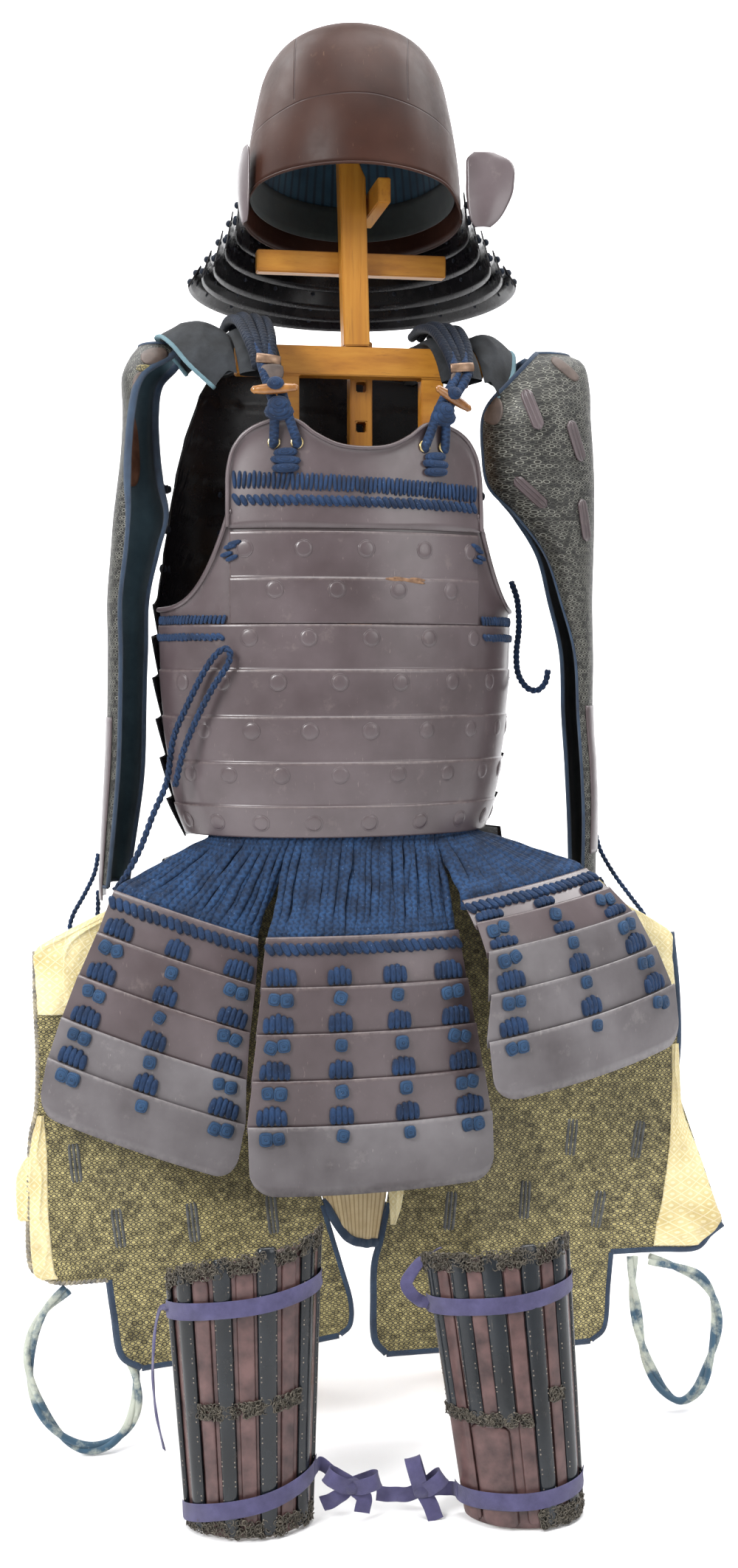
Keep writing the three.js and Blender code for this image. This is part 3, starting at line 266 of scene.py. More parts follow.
def copies(shape, places):
    """A shape at many places, each three axes and an origin (n, 4, 3): every vertex is x times the first axis
    plus y times the second plus z times the third plus the origin."""
    vertices, faces, uv = shape
    moved = np.einsum("vi,nij->nvj", vertices, places[:, :3]) + places[:, 3][:, None]
    numbers = faces[None] + (np.arange(len(places)) * len(vertices))[:, None, None]
    return moved.reshape(-1, 3), numbers.reshape(-1, faces.shape[1]), np.tile(uv, (len(places), 1, 1))


def bead(x, y, z, power=2.0, sides=12, levels=7):
    """A closed rounded lump with half sizes x, y and z. A power above two makes it boxier."""
    angle = np.linspace(0, 2 * math.pi, sides, endpoint=False)[None, :]
    rise = np.linspace(-math.pi / 2, math.pi / 2, levels)[:, None]

    def bent(v):
        return np.sign(v) * np.abs(v) ** (2 / power)

    points = np.stack(np.broadcast_arrays(
        x * bent(np.cos(rise)) * bent(np.cos(angle)),
        y * bent(np.cos(rise)) * bent(np.sin(angle)),
        z * bent(np.sin(rise)),
    ), -1)
    return points.reshape(-1, 3), grid_faces(levels, sides, True), grid_uv(points, True)


def places_on(shape_at, a, b, lift=0.0, spin=0.0, swap=1.0):
    """Places on a surface shape_at(a, b): the first axis along a, the second along b, the third the normal
    that swap times their cross product gives. spin turns the copy in the surface, in degrees."""
    a, b = np.broadcast_arrays(np.asarray(a, float), np.asarray(b, float))
    e = 1e-3
    origin = shape_at(a, b)
    first = unit(shape_at(a + e, b) - shape_at(a - e, b))
    other = shape_at(a, b + e) - shape_at(a, b - e)
    normal = unit(np.cross(first, other)) * swap
    second = np.cross(normal, first)
    spin = np.radians(np.broadcast_to(spin, a.shape))[:, None]
    x = np.cos(spin) * first + np.sin(spin) * second
    return np.stack([x, np.cross(normal, x), normal, origin + normal * np.reshape(lift, (-1, 1))], 1)


def dressed(piece, paint, slot, *solids):
    """Gives a piece its finish, lets it ride with the set, and hides the plain solids that it stands for.
    slot is not used."""
    piece.data.materials.clear()
    piece.data.materials.append(paint)
    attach(piece, "root")
    if solids:
        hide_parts(*solids)
    return piece


def dress(name, shape, paint, slot, *solids, weld=1e-6):
    """An object from (vertices, faces, uv), welded and dressed."""
    vertices, faces, uv = shape
    return dressed(mesh_object(name, vertices, faces, uv, weld=weld), paint, slot, *solids)


# %% [markdown]
# ## Finishes
#
# Each finish is a small node tree. A helper adds a node and sets its sockets, and a second one
# makes the usual start: a Principled shader whose colour is blended from several tones by noise,
# with a bump under it. Constant values such as coat and sheen are set on the shader itself.

# %% Node helpers
class Paint:
    """A material under construction: add() makes a node, wire() joins two sockets."""

    def __init__(self, name, **shader):
        self.material = bpy.data.materials.new(name)
        self.material.use_nodes = True
        self.tree = self.material.node_tree
        self.shader = self.tree.nodes["Principled BSDF"]
        for socket, value in shader.items():
            self.shader.inputs[socket.replace("_", " ")].default_value = value

    def add(self, kind, sockets=(), **settings):
        node = self.tree.nodes.new(kind)
        for key, value in settings.items():
            setattr(node, key, value)
        for socket, value in dict(sockets).items():
            if isinstance(value, bpy.types.NodeSocket):
                self.tree.links.new(value, node.inputs[socket])
            else:
                node.inputs[socket].default_value = value
        return node

    def wire(self, source, socket):
        self.tree.links.new(source, self.shader.inputs[socket])

    def math(self, operation, a, b=0.0, c=0.0, clamp=False):
        return self.add("ShaderNodeMath", {0: a, 1: b, 2: c}, operation=operation, use_clamp=clamp).outputs[0]

    def where(self, source="Object", scale=(1, 1, 1), turn=(0, 0, 0)):
        """Object or UV coordinates, stretched and turned."""
        coordinates = self.add("ShaderNodeTexCoord")
        return self.add("ShaderNodeMapping", {
            "Vector": coordinates.outputs[source], "Scale": scale, "Rotation": turn}).outputs[0]

    def cloud(self, scale, detail=4.0, rough=0.55, vector=None):
        sockets = {"Scale": scale, "Detail": detail, "Roughness": rough}
        sockets["Vector"] = vector or self.where()
        return self.add("ShaderNodeTexNoise", sockets).outputs[0]

    def tones(self, factor, stops):
        """Colours along a factor, as {position: (r, g, b)}."""
        ramp = self.add("ShaderNodeValToRGB", {0: factor})
        for _ in range(len(stops) - 2):
            ramp.color_ramp.elements.new(0.5)
        for element, (position, colour) in zip(ramp.color_ramp.elements, sorted(stops.items())):
            element.position = position
            element.color = (*colour, 1.0)
        return ramp.outputs[0]

    def mix(self, factor, a, b, blend="MIX"):
        node = self.add("ShaderNodeMix", {0: factor}, data_type="RGBA", blend_type=blend)
        for index, value in ((6, a), (7, b)):
            if isinstance(value, bpy.types.NodeSocket):
                self.tree.links.new(value, node.inputs[index])
            else:
                node.inputs[index].default_value = (*value, 1.0)
        return node.outputs[2]

    def ramp(self, value, low, high, to_low=0.0, to_high=1.0):
        return self.add("ShaderNodeMapRange", {
            0: value, 1: low, 2: high, 3: to_low, 4: to_high}).outputs[0]

    def bump(self, height, distance, strength=1.0, under=None):
        sockets = {"Height": height, "Distance": distance, "Strength": strength}
        if under is not None:
            sockets["Normal"] = under
        return self.add("ShaderNodeBump", sockets).outputs[0]

# %% [markdown]
# ## Floor and light
#
# The set stands on a pale floor that curves up into a pale wall, so there is no edge behind it. The
# wall's back is see-through, so the set can also be looked at from behind. The light is that of a
# bright studio: a soft white surround, a large lamp at the upper left in front, a weaker one at the
# right, and one from above that gives the lacquer its long highlights. Two more lamps stand behind
# the set and shine on the wall only, so the wall stays white while the lacquer keeps its deep
# tones.

# %% Floor and light
stage_paint = bpy.data.materials.new("pale_floor")
stage_paint.use_nodes = True
stage_paint.node_tree.nodes["Principled BSDF"].inputs["Base Color"].default_value = (0.88, 0.88, 0.89, 1)
stage_paint.node_tree.nodes["Principled BSDF"].inputs["Roughness"].default_value = 0.9
stage_nodes, stage_links = stage_paint.node_tree.nodes, stage_paint.node_tree.links
seen_from = stage_nodes.new("ShaderNodeNewGeometry")
clear = stage_nodes.new("ShaderNodeBsdfTransparent")
either = stage_nodes.new("ShaderNodeMixShader")
stage_links.new(seen_from.outputs["Backfacing"], either.inputs[0])
stage_links.new(stage_nodes["Principled BSDF"].outputs[0], either.inputs[1])
stage_links.new(clear.outputs[0], either.inputs[2])
stage_links.new(either.outputs[0], stage_nodes["Material Output"].inputs[0])

t = np.linspace(0, 1, 40)
bend = np.clip((t - 0.45) / 0.2, 0, 1) * math.pi / 2
run = np.minimum(t / 0.45, 1) * 4.6 - 3.0 + 1.2 * np.sin(bend)
height = 1.2 * (1 - np.cos(bend)) + np.clip((t - 0.65) / 0.35, 0, 1) * 4.0
across = np.linspace(-6, 6, 9)
sweep = np.stack(np.broadcast_arrays(across[None, :], run[:, None], height[:, None] - 0.0005), -1)
backdrop = surface("floor_and_wall", sweep)
backdrop.data.materials.append(stage_paint)
backdrop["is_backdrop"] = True

world = bpy.data.worlds.new("studio")
world.use_nodes = True
world.node_tree.nodes["Background"].inputs[0].default_value = (1.0, 1.0, 1.0, 1)
world.node_tree.nodes["Background"].inputs[1].default_value = 0.45
bpy.context.scene.world = world

LAMPS = [
    {"name": "key", "at": (-1.9, -2.3, 2.5), "size": 1.2, "power": 118, "aim": (0, 0, 0.95)},
    {"name": "fill", "at": (2.3, -2.0, 1.6), "size": 1.6, "power": 26, "aim": (0, 0, 0.8)},
    {"name": "top", "at": (0.3, -0.4, 3.2), "size": 1.8, "power": 62, "aim": (0, 0.1, 0.8)},
    {"name": "wall_left", "at": (-1.5, 0.9, 2.9), "size": 1.6, "power": 70, "aim": (-0.5, 2.9, 0.6)},
    {"name": "wall_right", "at": (1.5, 0.9, 2.9), "size": 1.6, "power": 70, "aim": (0.5, 2.9, 0.6)},
]
for lamp in LAMPS:
    data = bpy.data.lights.new(lamp["name"], "AREA")
    data.energy, data.size = lamp["power"], lamp["size"]
    light = bpy.data.objects.new(lamp["name"], data)
    light.location = lamp["at"]
    x, y, z = np.array(lamp["aim"]) - np.array(lamp["at"])
    light.rotation_euler = (math.atan2(math.hypot(x, y), -z), 0, math.atan2(-x, y))
    bpy.context.scene.collection.objects.link(light)
bpy.context.scene.view_settings.view_transform = "Standard"

# %% [markdown]
# ## Lacquer, iron and wood
#
# Purple-brown lacquer covers most of the iron. It has gone dull and cloudy, it carries fine
# scratches and pale dust, and its edges are painted a lighter brown, partly as rubbed lacquer and
# partly as a painted highlight where they catch the light; an attribute marks these edges on the
# pieces that have it. Black lacquer on the neck guard and the back has kept more of its gloss.

# %% Lacquer
def lacquer(name, dark, light, worn_and_edge_highlight, roughness, coat, seams=False, shine=0.5):
    paint = Paint(name, Roughness=roughness, Coat_Weight=coat, Coat_Roughness=0.22, Specular_IOR_Level=shine)
    cloud = paint.cloud(9.0, 5.0)
    colour = paint.tones(cloud, {0.3: dark, 0.72: light})
    scratch = paint.cloud(1.0, 2.0, vector=paint.where(scale=(420, 60, 90), turn=(0.3, 0.5, 0.2)))
    colour = paint.mix(paint.ramp(scratch, 0.70, 0.78, 0, 0.35), colour, worn_and_edge_highlight)
    dust = paint.cloud(38.0, 6.0, 0.7)
    colour = paint.mix(paint.ramp(dust, 0.60, 0.80, 0, 0.30), colour, worn_and_edge_highlight)
    # Lighter edges where the attribute marks them: partly rubbed lacquer, partly a painted highlight where
    # the edges catch the light.
    edge_wear_and_highlight = paint.add("ShaderNodeAttribute", attribute_name="edge_wear_and_highlight").outputs["Fac"]
    ragged = paint.math("MULTIPLY", edge_wear_and_highlight, paint.ramp(paint.cloud(160.0, 3.0), 0.35, 0.65), clamp=True)
    colour = paint.mix(paint.math("MULTIPLY", ragged, 0.24), colour, worn_and_edge_highlight)
    height = paint.math("ADD", paint.math("MULTIPLY", cloud, 0.5), paint.math("MULTIPLY", dust, 0.15))
    if seams:
        line = seam_lines(paint)
        colour = paint.mix(paint.math("MULTIPLY", line, 0.55), colour, (0.02, 0.01, 0.01))
        height = paint.math("SUBTRACT", height, line)
    paint.wire(colour, "Base Color")
    paint.wire(paint.ramp(dust, 0.3, 0.8, roughness - 0.06, roughness + 0.14), "Roughness")
    paint.wire(paint.bump(height, 0.0012, 0.5), "Normal")
    return paint.material


def seam_lines(paint):
    """Thin lines where the helmet's plates meet: two upright ones over the brow and one level one."""
    x, y, z = paint.add("ShaderNodeSeparateXYZ", {0: paint.where()}).outputs
    wobble = paint.math("MULTIPLY", paint.math("SUBTRACT", paint.cloud(14.0, 1.0), 0.5), 0.004)
    across = paint.math("ABSOLUTE", paint.math("ADD", paint.math("ADD", x, 0.0381), wobble))
    upright = paint.ramp(paint.math("ABSOLUTE", paint.math("SUBTRACT", across, 0.061)), 0.0004, 0.0011, 1, 0)
    upright = paint.math("MULTIPLY", upright, paint.ramp(z, 1.461, 1.463))
    bow = paint.math("MULTIPLY", paint.math("MULTIPLY", across, across), -1.6)
    level = paint.math("SUBTRACT", paint.math("SUBTRACT", z, paint.math("ADD", bow, 1.463)), wobble)
    level = paint.ramp(paint.math("ABSOLUTE", level), 0.0004, 0.0011, 1, 0)
    front = paint.ramp(y, 0.06, 0.04)
    return paint.math("MULTIPLY", paint.math("MAXIMUM", upright, level), front, clamp=True)


BROWN = lacquer("brown_lacquer", (0.046, 0.030, 0.032), (0.104, 0.080, 0.086), (0.27, 0.22, 0.20), 0.36, 0.40)
DUSTY = lacquer("dusty_lacquer", (0.060, 0.050, 0.054), (0.165, 0.152, 0.160), (0.34, 0.31, 0.30), 0.44, 0.18)
HELMET_BROWN = lacquer("helmet_lacquer", (0.021, 0.0075, 0.005), (0.050, 0.019, 0.012), (0.15, 0.09, 0.06),
                       0.44, 0.0, seams=True, shine=0.17)
BLACK = lacquer("black_lacquer", (0.002, 0.002, 0.003), (0.008, 0.007, 0.009), (0.05, 0.045, 0.045),
                0.24, 0.10, shine=0.22)
SPLINT_BLACK = lacquer("splint_lacquer", (0.003, 0.004, 0.005), (0.014, 0.018, 0.023), (0.13, 0.11, 0.09),
                       0.19, 0.0, shine=0.42)


# %% Wood, horn and metal
def wood(name, stretch):
    """Planed wood: long streaks from noise stretched along the grain, with pores and a thin varnish."""
    paint = Paint(name, Coat_Weight=0.12, Coat_Roughness=0.3)
    where = paint.where(scale=stretch, turn=(0, 0, math.radians(-10)))
    streak = paint.cloud(1.0, 6.0, 0.6, where)
    pores = paint.cloud(5.0, 2.0, 0.5, where)
    colour = paint.tones(streak, {0.28: (0.30, 0.105, 0.010), 0.5: (0.42, 0.170, 0.015),
                                  0.75: (0.52, 0.240, 0.028)})
    colour = paint.mix(paint.ramp(pores, 0.62, 0.75, 0, 0.45), colour, (0.20, 0.07, 0.008))
    paint.wire(colour, "Base Color")
    paint.wire(paint.ramp(streak, 0.2, 0.8, 0.38, 0.52), "Roughness")
    paint.wire(paint.bump(pores, 0.0004, 0.5), "Normal")
    return paint.material


WOOD_UPRIGHT = wood("wood_upright", (70, 70, 3.5))
WOOD_ACROSS = wood("wood_across", (3.5, 70, 70))
WOOD_DEEP = wood("wood_front_to_back", (70, 3.5, 70))


def plain(name, dark, light, scale, roughness, height=0.0003, **shader):
    """A simple finish: two tones blended by noise, with a fine bump."""
    paint = Paint(name, Roughness=roughness, **shader)
    cloud = paint.cloud(scale, 5.0)
    paint.wire(paint.tones(cloud, {0.3: dark, 0.7: light}), "Base Color")
    paint.wire(paint.bump(cloud, height, 0.6), "Normal")
    return paint.material


HORN = plain("horn", (0.08, 0.022, 0.004), (0.30, 0.13, 0.030), 50.0, 0.24, Coat_Weight=0.25)
BRASS = plain("brass", (0.50, 0.36, 0.14), (0.70, 0.58, 0.32), 90.0, 0.32, Metallic=1.0)
PALE_GOLD = plain("clasp", (0.11, 0.062, 0.040), (0.30, 0.19, 0.12), 90.0, 0.34, Metallic=0.4)
LEATHER = plain("leather", (0.040, 0.026, 0.021), (0.105, 0.075, 0.062), 70.0, 0.55, 0.0006)
INNER_LEATHER = plain("inner_leather", (0.10, 0.038, 0.020), (0.23, 0.105, 0.060), 60.0, 0.6, 0.0006)
RED_LEATHER = plain("splint_leather", (0.028, 0.012, 0.012), (0.120, 0.062, 0.058), 48.0, 0.46, 0.0009,
                    Coat_Weight=0.12)
PLATE_GREY = plain("plate_iron", (0.024, 0.026, 0.026), (0.085, 0.088, 0.085), 80.0, 0.40, 0.0005,
                   Coat_Weight=0.2)
PALE_STITCH = plain("stitch_marks", (0.09, 0.075, 0.06), (0.26, 0.22, 0.18), 300.0, 0.6)
RING_IRON = plain("mail_ring_iron", (0.020, 0.019, 0.017), (0.16, 0.14, 0.11), 260.0, 0.42, Metallic=0.55)

# %% [markdown]
# ## Lace, cloth and mail
#
# Braided lace shows small slanting stitches that cross along each strand, so its pattern follows
# the strand's own map. Mail is a lattice of rings, each hooked to its neighbours, over dark or gold
# cloth: two sets of circles, shifted by half a step, give both the colour and the height.

# %% Lace
def lace(name, dark, light, turns=2.0, pitch=0.0055):
    """Braid: two sets of slanting waves round the strand, the higher of the two on top."""
    paint = Paint(name, Roughness=0.75, Sheen_Weight=0.06, Specular_IOR_Level=0.25)
    u, v, _ = paint.add("ShaderNodeSeparateXYZ", {0: paint.where("UV")}).outputs
    round_it = paint.math("MULTIPLY", u, 2 * math.pi * turns)
    along = paint.math("MULTIPLY", v, 2 * math.pi / pitch)
    left = paint.math("SINE", paint.math("ADD", round_it, along))
    right = paint.math("SINE", paint.math("SUBTRACT", round_it, along))
    stitch = paint.ramp(paint.math("MAXIMUM", left, right), -0.3, 1.0)
    cloud = paint.cloud(45.0, 4.0)
    colour = paint.tones(cloud, {0.3: dark, 0.7: light})
    # Painted shade: the low grooves between the stitches are darkened.
    colour = paint.mix(paint.ramp(stitch, 0.0, 0.7, 0.55, 0.0), colour, (0.004, 0.008, 0.02))
    fluff = paint.cloud(420.0, 2.0)
    colour = paint.mix(paint.ramp(fluff, 0.68, 0.76, 0, 0.5), colour, (0.16, 0.22, 0.34))
    paint.wire(colour, "Base Color")
    paint.wire(paint.bump(stitch, 0.0006, 0.8), "Normal")
    return paint.material


LACE = lace("indigo_lace", (0.005, 0.014, 0.038), (0.013, 0.038, 0.100))
CURTAIN_LACE = lace("curtain_lace", (0.005, 0.015, 0.040), (0.016, 0.052, 0.135), turns=2.0, pitch=0.008)
DARK_LACE = lace("dark_lace", (0.002, 0.004, 0.009), (0.006, 0.012, 0.026))
KNOT = lace("lace_knot", (0.010, 0.030, 0.070), (0.025, 0.066, 0.140), turns=3.0, pitch=0.004)


# %% Mail
def mail(name, pitch, hole, ring, metal):
    """Rings in rows, each row shifted by half a ring, over cloth. hole and ring are two tones each, and every
    ring has its own mixture of them, drawn from its number in the row and the row's number. The light ring
    tone is partly a painted glint on the iron and partly the rings' own uneven tone."""
    paint = Paint(name, Roughness=0.5)
    around = {"Vector": paint.where("UV"), "Scale": 60.0, "Detail": 2.0}
    wander = paint.add("ShaderNodeTexNoise", around).outputs[1]
    wander = paint.add("ShaderNodeVectorMath", {0: wander, 3: 0.6}, operation="SCALE").outputs[0]
    grid = paint.where("UV", scale=(1 / pitch, 1.15 / pitch, 1))
    grid = paint.add("ShaderNodeVectorMath", {0: grid, 1: wander}, operation="ADD").outputs[0]
    u, v, _ = paint.add("ShaderNodeSeparateXYZ", {0: grid}).outputs
    row = paint.math("FLOOR", v)
    u = paint.math("ADD", u, paint.math("MULTIPLY", row, 0.5))
    x = paint.math("SUBTRACT", paint.math("FRACT", u), 0.5)
    y = paint.math("SUBTRACT", paint.math("FRACT", v), 0.5)
    far = paint.math("SQRT", paint.math("ADD", paint.math("MULTIPLY", x, x), paint.math("MULTIPLY", y, y)))
    number = paint.add("ShaderNodeCombineXYZ", {0: paint.math("FLOOR", u), 1: row}).outputs[0]
    chance = paint.add("ShaderNodeTexWhiteNoise", {"Vector": number}).outputs
    body = paint.ramp(paint.math("ABSOLUTE", paint.math("SUBTRACT", far, 0.40)), 0.05, 0.11, 1, 0)
    grime = paint.cloud(26.0, 5.0)
    under = paint.mix(paint.math("MULTIPLY_ADD", chance[0], 0.5, paint.ramp(grime, 0.3, 0.7, 0, 0.36)), *hole)
    # Each ring's random light tone: partly the ring's own colour, partly a painted glint.
    over = paint.mix(paint.math("MULTIPLY", chance[0], 0.8), *ring)
    paint.wire(paint.mix(body, under, over), "Base Color")
    paint.wire(paint.math("MULTIPLY", body, metal), "Metallic")
    paint.wire(paint.bump(body, 0.0016, 0.9), "Normal")
    return paint.material


STEEL_MAIL = mail("steel_mail", 0.0050, ((0.003, 0.003, 0.003), (0.016, 0.015, 0.011)),
                  ((0.040, 0.040, 0.036), (0.30, 0.30, 0.26)), 0.30)
GOLD_MAIL = mail("mail_on_gold", 0.0056, ((0.060, 0.048, 0.017), (0.60, 0.51, 0.21)),
                 ((0.026, 0.023, 0.017), (0.105, 0.095, 0.072)), 0.2)


# %% Cloth
def weave(name, dark, light, threads=0.0011, roughness=0.85, cloud_scale=18.0, stripes=None, sheen=0.15,
          depth=0.00025, spread=(0.3, 0.7)):
    """Plain weave: threads over and under each other, as the product of two waves. stripes adds lighter
    threads at a spacing across the cloth."""
    paint = Paint(name, Roughness=roughness, Sheen_Weight=sheen)
    u, v, _ = paint.add("ShaderNodeSeparateXYZ", {0: paint.where("UV")}).outputs
    warp = paint.math("SINE", paint.math("MULTIPLY", u, 2 * math.pi / threads))
    weft = paint.math("SINE", paint.math("MULTIPLY", v, 2 * math.pi / threads))
    thread = paint.math("MULTIPLY", warp, weft)
    cloud = paint.cloud(cloud_scale, 6.0, 0.65)
    colour = paint.tones(cloud, {spread[0]: dark, spread[1]: light})
    if stripes:
        spacing, tint = stripes
        band = paint.math("SINE", paint.math("MULTIPLY", u, 2 * math.pi / spacing))
        colour = paint.mix(paint.ramp(band, 0.3, 0.9, 0, 0.75), colour, tint)
    # Painted shade: the cloth is darkened where the threads dip under each other.
    colour = paint.mix(paint.ramp(thread, -1, 1, 0.22, 0), colour, tuple(0.35 * c for c in dark))
    paint.wire(colour, "Base Color")
    paint.wire(paint.bump(thread, depth, 0.7, paint.bump(cloud, 0.002, 0.4)), "Normal")
    return paint.material


PAD_CLOTH = weave("pad_cloth", (0.002, 0.003, 0.004), (0.022, 0.026, 0.032), 0.0016, cloud_scale=40.0,
                  sheen=0.0)
PALE_EDGE = weave("light_blue_edge", (0.085, 0.19, 0.24), (0.19, 0.36, 0.42), 0.0030, depth=0.0008)
BLUE_BINDING = weave("indigo_binding", (0.010, 0.024, 0.055), (0.035, 0.072, 0.130), 0.0014, cloud_scale=30.0)
TEAL_LINING = weave("teal_lining", (0.022, 0.050, 0.072), (0.060, 0.110, 0.140), 0.0012)
BLACK_LINING = weave("dark_lining", (0.004, 0.006, 0.008), (0.020, 0.024, 0.026), 0.0014)
HEAD_LINING = weave("helmet_lining_cloth", (0.010, 0.040, 0.075), (0.040, 0.110, 0.170), 0.0016,
                    stripes=(0.009, (0.010, 0.020, 0.035)))
HEAD_BAND = weave("helmet_band_cloth", (0.012, 0.018, 0.020), (0.040, 0.052, 0.050), 0.0013)
RIBBON = weave("purple_ribbon", (0.042, 0.036, 0.105), (0.088, 0.080, 0.195), 0.0009, 0.75, 60.0)
RUST = plain("rust", (0.09, 0.045, 0.025), (0.25, 0.14, 0.075), 200.0, 0.8)
GUSSET_CLOTH = weave("striped_gusset", (0.50, 0.36, 0.17), (0.80, 0.68, 0.44), 0.0016,
                     stripes=(0.0052, (0.34, 0.22, 0.09)), depth=0.0004)
PIPING = weave("cream_and_blue_piping", (0.030, 0.045, 0.080), (0.70, 0.60, 0.40), 0.0016, cloud_scale=90.0)
LOOP_CLOTH = weave("faded_blue_cloth", (0.040, 0.105, 0.170), (0.62, 0.66, 0.56), 0.0014, cloud_scale=16.0,
                   spread=(0.46, 0.56))


def brocade(name, ground, ground_light, figure):
    """Woven silk with a small repeating figure: a lattice of diamonds with a round bud in each."""
    paint = Paint(name, Roughness=0.55, Sheen_Weight=0.4)
    u, v, _ = paint.add("ShaderNodeSeparateXYZ", {0: paint.where("UV")}).outputs
    cell = 0.013
    a = paint.math("SINE", paint.math("MULTIPLY", paint.math("ADD", u, v), math.pi / cell))
    b = paint.math("SINE", paint.math("MULTIPLY", paint.math("SUBTRACT", u, v), math.pi / cell))
    a, b = paint.math("ABSOLUTE", a), paint.math("ABSOLUTE", b)
    lattice = paint.ramp(paint.math("MINIMUM", a, b), 0.10, 0.22, 1, 0)
    bud = paint.ramp(paint.math("MULTIPLY", a, b), 0.80, 0.90)
    figure_mask = paint.math("MAXIMUM", lattice, bud)
    rib = paint.math("SINE", paint.math("MULTIPLY", v, 2 * math.pi / 0.0012))
    cloud = paint.cloud(20.0, 6.0, 0.65)
    colour = paint.tones(cloud, {0.3: ground, 0.65: ground_light})
    colour = paint.mix(paint.math("MULTIPLY", figure_mask, 0.5), colour, figure)
    stain = paint.cloud(8.0, 6.0, 0.7)
    colour = paint.mix(paint.ramp(stain, 0.52, 0.72, 0, 0.65), colour, (0.30, 0.19, 0.065))
    paint.wire(colour, "Base Color")
    height = paint.math("ADD", paint.math("MULTIPLY", rib, 0.3), figure_mask)
    paint.wire(paint.bump(height, 0.0004, 0.6, paint.bump(cloud, 0.003, 0.4)), "Normal")
    return paint.material


BROCADE = brocade("cream_brocade", (0.52, 0.40, 0.15), (0.78, 0.68, 0.38), (0.86, 0.80, 0.58))
print("materials:", len(bpy.data.materials))

# %% [markdown]
# ## The stand
#
# The stand is planed timber with its edges just broken. The solids are already right, so each is
# copied, its loose triangles are merged, its flat faces are cleaned and its edges get a narrow
# bevel.

# %% Stand
def eased(node, paint, width=0.0012):
    """A copy of a solid with its edges eased."""
    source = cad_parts[node].data
    shell = bmesh.new()
    shell.from_mesh(source)
    bmesh.ops.remove_doubles(shell, verts=shell.verts, dist=1e-6)
    bmesh.ops.dissolve_limit(shell, angle_limit=math.radians(1), verts=shell.verts, edges=shell.edges)
    sharp = [e for e in shell.edges if len(e.link_faces) == 2 and e.calc_face_angle() > math.radians(25)]
    bmesh.ops.bevel(shell, geom=sharp, offset=width, segments=2, affect="EDGES")
    mesh = bpy.data.meshes.new(node + "_timber")
    shell.to_mesh(mesh)
    shell.free()
    mesh.shade_flat()
    timber = bpy.data.objects.new(mesh.name, mesh)
    bpy.context.scene.collection.objects.link(timber)
    return dressed(timber, paint, "wood", node)


for node in ("stand_post", "stand_head_post"):
    eased(node, WOOD_UPRIGHT)
for node in ("stand_trestle", "stand_yoke", "stand_head_bar", "stand_waist_rail"):
    eased(node, WOOD_ACROSS)
eased("stand_crown_bar", WOOD_DEEP)
print("timbers: 7")

# %% [markdown]
# ## The helmet
#
# The bowl is built of a few large plates under one skin of lacquer, so it is one smooth surface: an
# ellipse that is carried up a profile and closes at the crown. Its front edge rises in an arch over
# the brow. The wall is a solidify modifier, which keeps the thickness even.

# %% Bowl and lining
BOWL = [
    {"z": 0, "half_width": 123.5, "half_depth": 152}, {"z": 45, "half_width": 121, "half_depth": 151},
    {"z": 86, "half_width": 115.5, "half_depth": 147}, {"z": 118, "half_width": 109.5, "half_depth": 139},
    {"z": 146, "half_width": 103, "half_depth": 128}, {"z": 166, "half_width": 94, "half_depth": 115},
    {"z": 182, "half_width": 81, "half_depth": 98}, {"z": 194, "half_width": 61, "half_depth": 75},
    {"z": 202, "half_width": 34, "half_depth": 43}, {"z": 205, "half_width": 1, "half_depth": 1.3},
]


def brow_rise(y, z):
    """The rim's arch: a smooth step towards the front that fades out up the bowl."""
    t = np.clip((-y - 20) / 75, 0, 1)
    return 12 * t * t * (3 - 2 * t) * (1 - np.clip(z / 86, 0, 1))


def bowl_points(levels, around, inset=0.0, lift=0.0):
    """x is the half width times the cosine, y the half depth times the sine of the angle round the bowl."""
    profile = smooth_path([[r["z"], r["half_width"], r["half_depth"]] for r in BOWL], levels)
    z, half_width, half_depth = profile.T[:, :, None]
    angle = np.linspace(0, 2 * math.pi, around, endpoint=False)[None, :]
    x = np.maximum(half_width - inset, 0.4) * np.cos(angle)
    y = np.maximum(half_depth - inset, 0.4) * np.sin(angle)
    return np.stack([x, y, z + brow_rise(y, z) + lift + 0 * x], -1)


bowl_grid = bowl_points(48, 112)
bowl = surface("helmet_plates", on_helmet(bowl_grid), around=True, wall=2 * MM)
dressed(bowl, HELMET_BROWN, "lacquer", "helmet_bowl")

rim_bead = tube(on_helmet(bowl_grid[0]), 1.6 * MM, 8, reference=(0, 0, 1))
dress("helmet_rim", rim_bead, HELMET_BROWN, "lacquer")

lining_grid = bowl_points(40, 96, inset=4.5, lift=-4)[4:]
quilting = 0.8 * np.sin(np.linspace(0, 26 * math.pi, 96))[None, :]
lining_grid[:, :, 2] += quilting * np.linspace(0, 1, len(lining_grid))[:, None]
lining = surface("helmet_lining_cloth", on_helmet(lining_grid), around=True, wall=1.2 * MM)
dressed(lining, HEAD_LINING, "lining", "helmet_lining")
band_grid = bowl_points(40, 96, inset=6.5, lift=-4)[3:9]
dressed(surface("helmet_head_band", on_helmet(band_grid), around=True, wall=1.5 * MM), HEAD_BAND, "lining")
print("bowl faces:", len(bowl.data.polygons))

# %% [markdown]
# ## The neck guard
#
# Five lames flare out below the bowl, each laced to the one above. A lame is a ruled surface
# between its upper and its lower edge, with a little roll at the lower one. On its ends, knots of
# lace stand out, and its lower edge is painted paler: rubbed lacquer and a painted highlight.

